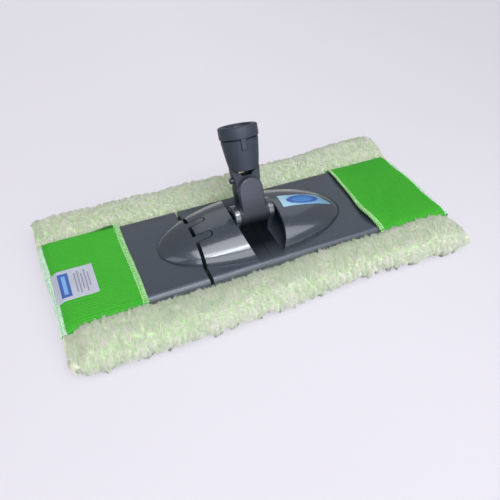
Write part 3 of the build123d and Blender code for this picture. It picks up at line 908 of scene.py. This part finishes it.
def strands(name, seed, x_range, y_range):
    """Fine closed bent strands on the skin: a point, a small triangle, a point."""
    count = STRANDS_PER_ZONE
    draws = np.random.RandomState(seed)
    roots, vertex = strand_roots(draws, x_range, y_range)
    normal = smooth_normals[vertex]
    tuft_depth, centres = small_tufts(roots)
    paths, along = strand_paths(draws, roots, vertex, centres)
    width = STRAND_WIDTH * draws.uniform(0.7, 1.3, count)
    across = unit(np.cross(along, normal + draws.normal(0, 0.05, (count, 3))))
    other = np.cross(along, across)
    points = np.zeros((count, 5, 3))
    points[:, 0] = paths[:, 0]
    for k in range(3):
        angle = TAU * k / 3
        out = math.cos(angle) * across + math.sin(angle) * other
        points[:, 1 + k] = paths[:, 1] + out * (width * 0.6)[:, None]
    points[:, 4] = paths[:, 2]
    first = (np.arange(count) * 5)[:, None]
    root_faces = [first + np.array([0, 1 + (k + 1) % 3, 1 + k]) for k in range(3)]
    tip_faces = [first + np.array([1 + k, 1 + (k + 1) % 3, 4]) for k in range(3)]
    slots = np.tile(strand_slots(draws, roots, normal, tuft_depth), 6)
    obj = make_mesh(name, points.reshape(-1, 3), root_faces + tip_faces, *FIBRES, slots=slots)
    soft = unit(fluffed_normals[vertex] * 0.4 + normal * 0.6)
    obj.data.normals_split_custom_set_from_vertices(np.repeat(soft, 5, 0).tolist())
    stand_in(obj, "plush_pile", "pile_main", "pile_wing")
    fold(obj)


zones = itertools.product(
    (("front", (-130, 0)), ("back", (0, 130))),
    (("left", (-230, -70)), ("middle", (-70, 70)), ("right", (70, 230))),
)
for number, ((row, y_range), (column, x_range)) in enumerate(zones):
    name = "plush_strands_%s_%s" % (row, column)
    strands(name, FIRST_STRAND_SEED + number, x_range, y_range)


# -------------------------------------------------------------- base cloth
def woven_cloth(name, colour, weave):
    m = Material(name)
    height = m.math("MAXIMUM", m.wave(weave, "X"), m.wave(weave, "Y"))
    base = m.ramp(m.noise(60), [(0.3, scaled(colour, 0.85)), (0.7, scaled(colour, 1.12))])
    # painted shade: the low parts of the weave are darkened
    m.surface(
        base_color=m.mix(m.remap(height, (0, 1), (0.35, 0.0)), base, scaled(colour, 0.5)),
        roughness=0.85,
        sheen_weight=0.2,
        normal=m.bump(height, strength=0.5, distance=0.0006),
    )
    return m.data


def base_cloth():
    """The cloth inside the pad, sinking towards its ends; its dark colour is painted shade for the
    unlit inside of the pad.
    """
    level, end_level = 15.9, 12.8
    x, y = np.meshgrid(np.linspace(-201.5, 203, 180), np.linspace(-84, 84, 40), indexing="ij")
    z = level + 0.15 * value_noise(np.stack([x, y, x * 0], -1), 12, 4)
    inside = 1 - ease(186, 203, np.abs(x))
    z = end_level + (z - end_level) * (0.25 + 0.75 * inside)
    # painted shade: the cloth is coloured near black
    material = woven_cloth("backing_cloth", srgb(26, 44, 34), 330)
    obj = sheet("base_cloth", np.stack([x, y, z], -1), 1.3, material)
    stand_in(obj, "backing_cloth", "backing_main", "backing_wing")
    fold(obj)


base_cloth()

# ------------------------------------------------------------------ pockets
POCKET_GREEN = srgb(58, 170, 36)
RIB_PITCH, RIB_HEIGHT = 2.35, 0.27
POCKET_END = 203.4                  # mean x of the sewn end
POCKET_DEPTH = 78.0                 # turns a distance from the open edge into u
# across the pad over the plate's long edges, front to back: (y, z)
POCKET_ARC = resample([
    (-59.2, 17.6), (-58.6, 20.4), (-57.2, 23.4), (-54.6, 25.9), (-51.0, 27.1),
    (-44.0, 27.5), (-20.0, 27.75), (0.0, 27.8), (20.0, 27.75), (44.0, 27.5),
    (50.5, 27.1), (54.0, 26.2), (56.6, 24.0), (57.8, 21.0), (58.2, 17.6),
], 260)


def ribbed_fabric(name, colour, direction):
    m = Material(name)
    # a wave node's bands repeat every tau/20 units at scale 1
    scale = (TAU / 20) / (RIB_PITCH * MM)
    ribs = m.wave(scale, direction, detail=0)
    cross = m.wave(scale * 2.6, "X" if direction == "Y" else "Y", distortion=0.2)
    height = m.math("ADD", ribs, m.times(cross, 0.35))
    stops = [(0.3, scaled(colour, 0.78, 0.97, 0.85)), (0.7, scaled(colour, 1.22, 1.03, 1.05))]
    base = m.ramp(m.noise(26), stops)
    # painted shade: the rib grooves and the low parts of the cross weave are darkened
    groove = m.remap(ribs, (0.0, 1.0), (0.85, 0.0))
    base = m.mix(groove, base, scaled(colour, 0.50, 0.76, 0.8))
    base = m.mix(m.remap(cross, (0.0, 1.0), (0.10, 0.0)), base, scaled(colour, 0.6))
    if direction == "Y":
        # painted shade: the left pocket's turned-down back edge beside the open end is darkened
        shade = m.times(
            m.remap_mm(m.axis(1), (51.6, 53.0), (0.0, 0.9)),
            m.remap_mm(m.axis(0), (-158, -143), (0.0, 1.0)),
        )
        base = m.mix(shade, base, scaled(colour, 0.05, 0.20, 0.30))
    m.surface(
        base_color=base,
        roughness=0.72,
        specular_ior_level=0.3,
        sheen_weight=0.15,
        sheen_tint=(0.7, 1.0, 0.5),
        normal=m.bump(height, strength=0.45, distance=0.0005),
    )
    return m.data


def seam_pull(side, y):
    return lookup(LEFT_PULL if side == LEFT else RIGHT_PULL, y)


def open_edge(side, y):
    """Where a pocket's open edge lies, and how far it lifts off the plate."""
    if side == LEFT:
        return 127.6 + 0.5 * np.sin(y / 21.0), 0.15 + 0.35 * bell(y, 38, 14.0)
    x = 123.2 - 4.6 * bell(y, -22, 26.0) - 1.0 * bell(y, 25, 22.0)
    return x, 1.3 + 1.5 * bell(y, -32, 11.0) - 0.9 * ease(-40, -52, y)


def pocket_surface(side, u, v, ribs=False):
    """Points at u, 0 at the open edge to 1 at the seam, and v, 0 at the front to 1 at the back."""
    u, v = np.broadcast_arrays(np.asarray(u, float), np.asarray(v, float))
    t = np.linspace(0, 1, len(POCKET_ARC))
    y = np.interp(v, t, POCKET_ARC[:, 0])
    z = np.interp(v, t, POCKET_ARC[:, 1])
    x_open, lift = open_edge(side, y)
    x_seam = POCKET_END + 0.8 * np.sin(y / 19.0 + side) - seam_pull(side, y)
    x = x_open + (x_seam - x_open) * u
    over_edge = np.clip((np.abs(y) - 50) / 8.0, 0, 1)      # 1 where the cloth turns down
    z = z + lift * np.exp(-(np.clip(u, 0, 1) * 76 / 10.0) ** 1.5) * (1 - 0.7 * over_edge)
    # beyond the plate's end the cloth falls to the seam
    fall = ease(x_seam - 6.0, x_seam + 0.3, x)
    z_seam = 24.6 - 2.6 * over_edge + 0.5 * np.sin(y / 9.0 + 1.3 * side)
    z = z + (np.where(y > 40, z_seam + 1.2 * over_edge, np.minimum(z_seam, z)) - z) * fall
    if side == LEFT:
        # a bulge in the back edge near the open end
        bulge = bell(x, 136, 13.0) * ease(45, 57, y)
        y = y + 4.6 * bulge
        z = z - 1.6 * bulge
    # soft tension waves running from the seam
    points = np.stack([x * 0.5, y, np.zeros(x.shape)], -1)
    wave = (value_noise(points, 17, 81 + side) * 0.32
            + value_noise(points * np.array([0.6, 1, 1]), 7.0, 83 + side) * 0.10)
    z = z + wave * (0.35 + 0.65 * ease(0.1, 1.0, u)) * (1 - over_edge)
    if ribs:
        # the ribs run along the pad on the left pocket, across it on the right
        across_ribs = y if side == LEFT else x
        z = z - RIB_HEIGHT * np.cos(TAU * across_ribs / RIB_PITCH) * (1 - over_edge)
    return np.stack([side * x, y, z], -1)


def v_at(side, u, y):
    """The v that gives each y on a pocket's line of constant u."""
    v = np.linspace(0, 1, 400)
    return np.interp(y, pocket_surface(side, u, v)[:, 1], v)


def pocket(side, hand, body, material, rows, columns):
    u = np.linspace(0, 1, rows)[:, None]
    v = np.linspace(0, 1, columns)[None, :]
    grid = pocket_surface(side, u, v, ribs=True)
    obj = sheet("pocket_cloth_" + hand, grid, 0.9, material)
    stand_in(obj, "pocket_fabric", "pocket_" + hand)
    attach(obj, body)


fabrics = [
    ribbed_fabric("pocket_fabric_left", POCKET_GREEN, "Y"),
    ribbed_fabric("pocket_fabric_right", POCKET_GREEN, "X"),
]
for ends, fabric, (rows, columns) in zip(SIDES, fabrics, ((60, 380), (250, 120))):
    pocket(*ends, fabric, rows, columns)


# ----------------------------------------------------------------- stitching
def thread_material(name, light, dark):
    m = Material(name)
    patches = m.noise(240, rough=0.6)
    twist = m.wave(520, "DIAGONAL", distortion=1.0)
    base = m.ramp(patches, [(0.32, dark), (0.6, light)])
    # painted shade: the grooves of the twist are darkened
    m.surface(
        base_color=m.mix(m.remap(twist, (0, 1), (0.25, 0.0)), base, scaled(light, 0.7)),
        roughness=0.6,
        sheen_weight=0.25,
        normal=m.bump(twist, strength=0.4, distance=0.0003),
    )
    return m.data


HEM_THREAD = thread_material("hem_thread", srgb(198, 236, 180), srgb(146, 214, 120))
HEM_CLOTH = woven_cloth("hem_base", srgb(70, 172, 52), 700)
SEAM_THREAD = thread_material("seam_thread", srgb(222, 240, 228), srgb(176, 222, 184))
SEAM_CLOTH = woven_cloth("seam_base", srgb(104, 190, 96), 700)
BINDING_THREAD = thread_material("binding_thread", srgb(244, 244, 224), srgb(230, 233, 204))

HEM_DEPTHS = np.array([4.9, 3.4, 1.8, 0.5])         # stitch points in from the open edge
HEM_RISES = 0.62 * np.array([0.7, 1, 1.05, 1])      # and their heights over the cloth
# the stitch then hooks over the edge: (towards the pad's middle, y, z)
HEM_HOOK = np.array([(0.62, 0, 0.25), (0.55, 0, -0.45), (-0.9, 0, -0.75)])
HEM_WAVE = 4.3                                      # wavelength of the long threads
# long threads tying the comb together: depth, sideways swing, radius, rise, phase
HEM_TIES = ((4.9, 0.3, 0.34, 0.75, 0.0), (0.9, 0.25, 0.30, 0.95, math.pi))


def hem_width(side, y):
    """The comb of threads is narrow on the right pocket, narrower still towards the back."""
    return np.full_like(y, 0.92) if side == LEFT else 0.34 + 0.42 * ease(12, -34, y)


def on_pocket(side, depth, y):
    """Points on the pocket cloth at a depth in from its open edge."""
    return pocket_surface(side, depth / POCKET_DEPTH, v_at(side, 0 * np.ones(400), y))


def hem(side, hand, body):
    """The threads over a pocket's open edge, and the folded edge under them."""
    draws = np.random.RandomState(7 + side)
    y = np.arange(-57.4, 56.6, 2.15)
    y = y + draws.normal(0, 0.12, len(y))
    depth = HEM_DEPTHS * hem_width(side, y)[:, None]
    comb = on_pocket(side, depth, y[:, None] + 0.35)
    comb[..., 2] += HEM_RISES
    edge = on_pocket(side, 0.0, y)[:, None] + HEM_HOOK * (-side, 1, 1)
    parts = [tubes(np.concatenate([comb, edge], 1), draws.uniform(0.36, 0.46, len(y)))]
    y = np.arange(-57.6, 57.0, HEM_WAVE / 6)
    turn = y / HEM_WAVE * TAU
    for depth, swing, radius, rise, phase in HEM_TIES:
        path = on_pocket(side, depth * hem_width(side, y) + swing * np.sin(turn + phase), y)
        path[:, 2] += rise + 0.15 * np.cos(turn * 2)
        parts.append(long_thread(path, radius))
    threads = thread_object("hem_" + hand, parts, HEM_THREAD)

    v = np.linspace(0.004, 0.996, 110)[None, :]
    width = hem_width(side, pocket_surface(side, 0.0, v)[..., 1])
    u = np.linspace(-0.004, 5.0 / POCKET_DEPTH, 8)[:, None] * width
    grid = pocket_surface(side, u, v)
    grid[..., 2] += 0.5
    folded = sheet("hem_%s_fold" % hand, grid, 0.35, HEM_CLOTH)
    for obj in (threads, folded):
        stand_in(obj, "hem_thread", "pocket_hem_" + hand)
        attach(obj, body)


def wrap_stitches(side, x, y, z, path, lean, radii):
    """Stitches following a path of (outwards, up) steps from x, z, each leaning along y."""
    outwards, up = np.moveaxis(path, -1, 0)
    lean = lean[:, None] * np.linspace(-0.5, 0.5, 7)
    x = x[:, None] + outwards
    return tubes(np.stack([side * x, y[:, None] + lean, z[:, None] + up], -1), radii)


# from the green side, over the edge and down the pad's end: (outwards, up)
SEAM_STITCH = np.array([
    (-2.6, 0.7), (-1.3, 1.25), (0.6, 1.35), (2.4, 0.5), (3.6, -2.4), (4.0, -5.4), (3.4, -8.0),
])
SEAM_LOOSE = np.array([1, 0, 0, 0, 1, 0, 0])        # stitch points that vary in x
# long threads: outwards, up, swing, wavelength, radius, phase
SEAM_TIES = (
    (-2.6, 0.9, 0.5, 2.3, 0.36, 0),
    (3.4, -0.2, 0.45, 2.3, 0.36, 1.0),
    (0.6, 1.5, 0.6, 3.4, 0.32, 2.0),
)
# the strip under the stitches: (share of its width, outwards, up)
SEAM_STRIP = ((0, -2.9, 0.1), (0.35, 0.0, 0.75), (0.7, 2.9, -0.6), (1, 3.3, -8.0))


def seam_line(side, y):
    """Where the pocket is sewn to the pad's end."""
    x = 205.2 + 0.7 * np.sin(y / 17.0 + 0.6 * side) + 0.35 * np.sin(y / 5.2)
    z = 23.0 - 3.2 * np.clip((np.abs(y) - 44) / 14.0, 0, 1) + 0.5 * np.sin(y / 9.0 + 1.3 * side)
    return x - seam_pull(side, y), z


def end_seam(side, hand, body):
    draws = np.random.RandomState(21 + side)
    y = np.arange(-57.5, 57.5, 1.75)
    count = len(y)
    x, z = seam_line(side, y)
    lean = 1.5 + draws.normal(0, 0.35, count)
    path = np.tile(SEAM_STITCH, (count, 1, 1))
    path[..., 0] += draws.normal(0, 0.18, count)[:, None] * SEAM_LOOSE
    radii = draws.uniform(0.46, 0.60, count)
    parts = [wrap_stitches(side, x, y, z, path, lean, radii)]
    y = np.arange(-57.5, 57.5, 0.4)
    x, z = seam_line(side, y)
    for outwards, up, swing, wavelength, radius, phase in SEAM_TIES:
        turn = y / wavelength * TAU
        tie_x = side * (x + outwards + swing * np.sin(turn + phase))
        tie = np.stack([tie_x, y, z + up + 0.2 * np.cos(turn * 2)], 1)
        parts.append(long_thread(tie, radius))
    threads = thread_object("end_seam_threads_" + hand, parts, SEAM_THREAD)

    y = np.linspace(-57.8, 57.8, 110)[None, :]
    share = np.linspace(0, 1, 9)[:, None]
    x, z = seam_line(side, y)
    shares, outwards, up = zip(*SEAM_STRIP)
    x = x + np.interp(share, shares, outwards)
    z = z + np.interp(share, shares, up)
    grid = np.stack([side * x, np.broadcast_to(y, x.shape), z], -1)
    strip = sheet("end_seam_threads_%s_fold" % hand, grid, 0.9, SEAM_CLOTH)
    for obj in (threads, strip):
        stand_in(obj, "seam_thread", "end_seam_" + hand)
        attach(obj, body)


BINDING_X = 208.6
BINDING_START = 56.5
# from the top round the pad's end to the underside: (outwards, up)
BINDING_STITCH = np.array([
    (-4.4, 5.0), (-2.2, 5.2), (0.1, 3.6), (1.2, 0), (0.1, -3.6), (-2.2, -5.0), (-4.2, -4.8),
])


def binding(side, hand, body):
    """The pale overlock that closes the plush at one end, front and back of the pocket."""
    draws = np.random.RandomState(41 + side)
    end = 93.0 if side == LEFT else 95.0
    parts = []
    for half in (-1, 1):                # front, back
        off = np.arange(BINDING_START, end, 1.25)
        rounding = 1.0 if side == LEFT and half < 0 else 0.35
        x = BINDING_X - np.where(off > 84, (off - 84) ** 2 * 0.035, 0) * rounding
        if side == LEFT:
            x = x - lookup(LEFT_PULL, half * off)
        elif half < 0:
            x = x + 3.5 * ease(55, 96, off) + 0.3
        else:
            x = x - 0.8 * ease(20, 95, off) + 0.3
        z = 12.0 + 0.6 * np.sin(off / 7.0)
        lean = 1.2 + draws.normal(0, 0.25, len(off))
        radii = draws.uniform(0.5, 0.66, len(off))
        parts.append(wrap_stitches(side, x, half * off, z, BINDING_STITCH, lean, radii))
        y = half * np.arange(BINDING_START, end, 0.5)
        tie_x = side * (np.interp(np.abs(y), off, x) - 4.0 + 0.4 * np.sin(y * 2.6))
        tie = np.stack([tie_x, y, 17.3 + 0.6 * np.sin(y / 7.0)], 1)
        parts.append(long_thread(tie, 0.5))
    obj = thread_object("end_binding_threads_" + hand, parts, BINDING_THREAD)
    stand_in(obj, "binding_thread", "end_binding_" + hand)
    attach(obj, body)


for build in (hem, end_seam, binding):
    for ends in SIDES:
        build(*ends)

# --------------------------------------------------------------- care label
LABEL_INNER_X, LABEL_OUTER_X = 164.2, 202.6         # distances left of the middle
LABEL_FRONT, LABEL_BACK = -28.6, 9.4
# plain printed shapes: x range, y range
LABEL_PATCH = ((-197.0, -187.5), (-24.5, 5.5))
LABEL_PATCH_CENTRE = ((-194.0, -190.5), (-21.0, 2.0))
LABEL_BARS = (
    ((-182.6, -181.4), (-22, 3)), ((-179.6, -178.4), (-24, 5)), ((-176.6, -175.4), (-20, 1)),
    ((-173.6, -172.4), (-24, 5)), ((-170.6, -169.6), (-18, 0)),
)


def label_material():
    m = Material("label_satin")
    x, y = m.axis(0), m.axis(1)
    satin = srgb(184, 188, 202)
    weave_x, weave_y = m.wave(620, "X"), m.wave(620, "Y")
    colour = m.ramp(m.noise(45), [(0.3, scaled(satin, 0.88)), (0.7, satin)])

    def painted_shade_matt_valley(value, low, high):
        above = m.math("GREATER_THAN", value, low * MM)
        return m.times(above, m.math("LESS_THAN", value, high * MM))

    def rectangle(x_range, y_range):
        return m.times(painted_shade_matt_valley(x, *x_range), painted_shade_matt_valley(y, *y_range))

    colour = m.mix(rectangle(*LABEL_PATCH), colour, srgb(52, 92, 168))
    colour = m.mix(rectangle(*LABEL_PATCH_CENTRE), colour, srgb(120, 164, 214))
    for bar in LABEL_BARS:
        colour = m.mix(m.times(rectangle(*bar), 0.75), colour, srgb(104, 106, 132))
    weave = m.math("MAXIMUM", weave_x, weave_y)
    m.surface(
        base_color=colour,
        roughness=0.42,
        sheen_weight=0.2,
        normal=m.bump(weave, strength=0.25, distance=0.0002),
    )
    return m.data


def care_label():
    """A ribbon lying on the left pocket, its inner edge lifted."""
    y = np.linspace(LABEL_FRONT, LABEL_BACK, 30)
    x = np.linspace(LABEL_INNER_X, LABEL_OUTER_X, 30)[:, None]
    x_open, _ = open_edge(LEFT, y)
    u = (x - x_open) / (POCKET_END - seam_pull(LEFT, y) - x_open)
    v = v_at(LEFT, np.full(400, 0.6), y)
    cloth_z = pocket_surface(LEFT, np.clip(u, 0, 1), v)[..., 2]
    curl = 0.9 * bell(x, LABEL_INNER_X, 5.0) * (0.4 + 0.6 * np.cos((y + 10) / 13.0))
    grid = np.stack([-x + 0 * y, y + 0.25 * np.sin(x / 9.0), cloth_z + 0.75 + curl], -1)
    obj = sheet("care_label_ribbon", grid, 0.25, label_material())
    stand_in(obj, "label_satin", "care_label")
    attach(obj, "wing")


care_label()

# ------------------------------------------------------------- dome sticker
DOME_LENGTH, DOME_WIDTH, DOME_HEIGHT = 102.0, 45.0, 24.0        # half length and half width
# in plan: front left, front right, back right, back left
STICKER_CORNERS = np.array([(31.5, -6.8), (90.0, -7.4), (77.0, 8.8), (32.5, 12.2)])


def sticker_material():
    m = Material("sticker_film")
    centre = (58 * MM, 1.4 * MM, 0)
    local = m.node("VectorMath", {0: m.position(), 1: centre}, operation="SUBTRACT").outputs[0]
    x, y = m.node("SeparateXYZ", {0: local}).outputs[:2]
    fade = m.remap_mm(x, (-26, 30), (0, 1))
    stops = [(0.0, srgb(160, 198, 216)), (0.5, srgb(116, 168, 202)), (1.0, srgb(108, 152, 180))]
    colour = m.ramp(fade, stops)
    # a plain oval in two blues
    oval_x = m.math("DIVIDE", x, 19 * MM)
    oval_y = m.math("DIVIDE", m.math("ADD", y, -0.4 * MM), 6.9 * MM)
    reach = m.math("ADD", m.times(oval_x, oval_x), m.times(oval_y, oval_y))
    colour = m.mix(m.math("LESS_THAN", reach, 1.0), colour, srgb(34, 82, 160))
    colour = m.mix(m.math("LESS_THAN", reach, 0.45), colour, srgb(56, 120, 186))
    m.surface(
        base_color=colour,
        roughness=m.remap(m.noise(90), (0.3, 0.7), (0.2, 0.32)),
        coat_weight=0.5,
        normal=m.bump(m.noise(260, detail=2), strength=0.06, distance=0.0004),
    )
    return m.data


def dome_z(x, y):
    along = np.clip(np.abs(x) / DOME_LENGTH, 0, 0.999)
    width = DOME_WIDTH * np.sqrt(1 - along * along)
    across = np.clip(np.abs(y) / width, 0, 0.999)
    return PLATE_TOP + DOME_HEIGHT * (1 - along * along) ** 0.75 * np.sqrt(1 - across * across)


def dome_sticker():
    s = np.linspace(0, 1, 44)[:, None, None]
    t = np.linspace(0, 1, 18)[None, :, None]
    front_left, front_right, back_right, back_left = STICKER_CORNERS
    front = (1 - s) * front_left + s * front_right
    back = (1 - s) * back_left + s * back_right
    x, y = np.moveaxis(front * (1 - t) + back * t, -1, 0)
    grid = np.stack([x, y, dome_z(x, y) + 0.28], -1)
    obj = sheet("dome_sticker_film", grid, 0.22, sticker_material())
    stand_in(obj, "sticker_film", "dome_sticker")
    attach(obj, "head")


dome_sticker()

# -------------------------------------------------------------------- stage
FLOOR_HALF, FLOOR_Z = 6000.0, -0.6


def floor_material():
    m = Material("floor_pale")
    stops = [(0.3, (0.235, 0.228, 0.252)), (0.7, (0.245, 0.238, 0.262))]
    # a little brighter to the back, a little darker to the right
    tone = m.math(
        "ADD",
        m.remap(m.axis(1), (0.10, 0.75), (0.0, 0.055)),
        m.remap(m.axis(0), (0.10, 0.55), (0.0, -0.045)),
    )
    m.surface(
        base_color=m.ramp(m.noise(2.2, detail=2), stops),
        roughness=0.95,
        specular_ior_level=0.05,
        emission_color=(0.965, 0.94, 1.03),
        emission_strength=m.math("ADD", tone, 0.555),
    )
    return m.data


floor_corners = [
    (x * FLOOR_HALF, y * FLOOR_HALF, FLOOR_Z) for x, y in ((-1, -1), (1, -1), (1, 1), (-1, 1))
]
floor_face = np.array([[0, 1, 2, 3]])
floor = make_mesh("floor", floor_corners, [floor_face], floor_material(), smooth=False)


def studio_world():
    general, glossy, backdrop = 0.17, 0.29, 0.80        # strength seen by each kind of ray
    world = bpy.data.worlds.new("studio")
    scene.world = world
    world.use_nodes = True
    graph = Graph(world.node_tree)
    background = world.node_tree.nodes["Background"]
    rays = graph.node("LightPath", {}).outputs
    room = graph.remap(rays["Is Glossy Ray"], (0.0, 1.0), (general, glossy))
    strength = graph.remap(rays["Is Camera Ray"], (0.0, 1.0), (room, backdrop))
    graph.feed(background.inputs[0], (0.93, 0.94, 1.0))
    graph.feed(background.inputs[1], strength)


def area_light(name, at, aim, power, size, size_y=None, colour=(1, 1, 1), roll=0.0):
    """An area light at a place, facing aim; size_y makes it a rectangle, roll is in degrees."""
    light = bpy.data.lights.new(name, "AREA")
    light.energy = power
    light.size = size
    if size_y:
        light.shape = "RECTANGLE"
        light.size_y = size_y
    light.color = colour
    obj = bpy.data.objects.new(name, light)
    scene.collection.objects.link(obj)
    obj.location = at
    turn = (Vector(aim) - Vector(at)).to_track_quat("-Z", "Y")
    obj.rotation_mode = "QUATERNION"
    obj.rotation_quaternion = turn @ Quaternion((0, 0, 1), math.radians(roll))


studio_world()
MIDDLE = (-0.02, -0.02, 0.02)
area_light("key", at=(-0.03, -0.40, 1.25), aim=MIDDLE, power=8.2, size=1.19, size_y=0.86)
area_light("key_front", at=(-0.12, -0.78, 1.12), aim=MIDDLE, power=4.7, size=1.0, size_y=0.42)
area_light("strip", at=(-0.10, -0.79, 1.09), aim=MIDDLE, power=2.2, size=0.70, size_y=0.045,
           roll=24.0)
area_light("edge", at=(0.34, -0.80, 1.06), aim=(-0.02, -0.055, 0.02), power=0.7, size=0.8,
           size_y=0.05)
area_light("front", at=(-0.05, -1.25, 0.47), aim=(0, 0, 0.05), power=8.6, size=1.5,
           size_y=0.92, colour=(0.97, 0.98, 1.0))
area_light("right", at=(0.95, -0.75, 1.25), aim=(0.05, 0, 0.03), power=4.1, size=0.9,
           size_y=0.9, colour=(0.98, 0.99, 1.0))
area_light("back", at=(0.56, 1.04, 1.06), aim=(0.05, 0, 0.03), power=2.0, size=1.6,
           size_y=1.0, colour=(0.92, 0.96, 1.0))
area_light("side", at=(-1.3, -0.3, 0.9), aim=(0, 0, 0.02), power=2.0, size=0.9,
           colour=(0.95, 0.97, 1.0))


def camera():
    """From the front left, above the pad."""
    lens = bpy.data.cameras.new("cam")
    lens.lens = 37.08
    lens.sensor_width = 36.0
    lens.clip_start = 0.01
    lens.clip_end = 20
    obj = bpy.data.objects.new("cam", lens)
    scene.collection.objects.link(obj)
    turn = Matrix((
        (0.91127, 0.27170, -0.30946),
        (-0.41084, 0.65140, -0.63788),
        (0.02827, 0.70842, 0.70522),
    ))
    place = Matrix.Translation((-0.1747, -0.3570, 0.3610 + PLATE_TOP * MM))
    obj.matrix_world = place @ turn.to_4x4()
    scene.camera = obj


camera()
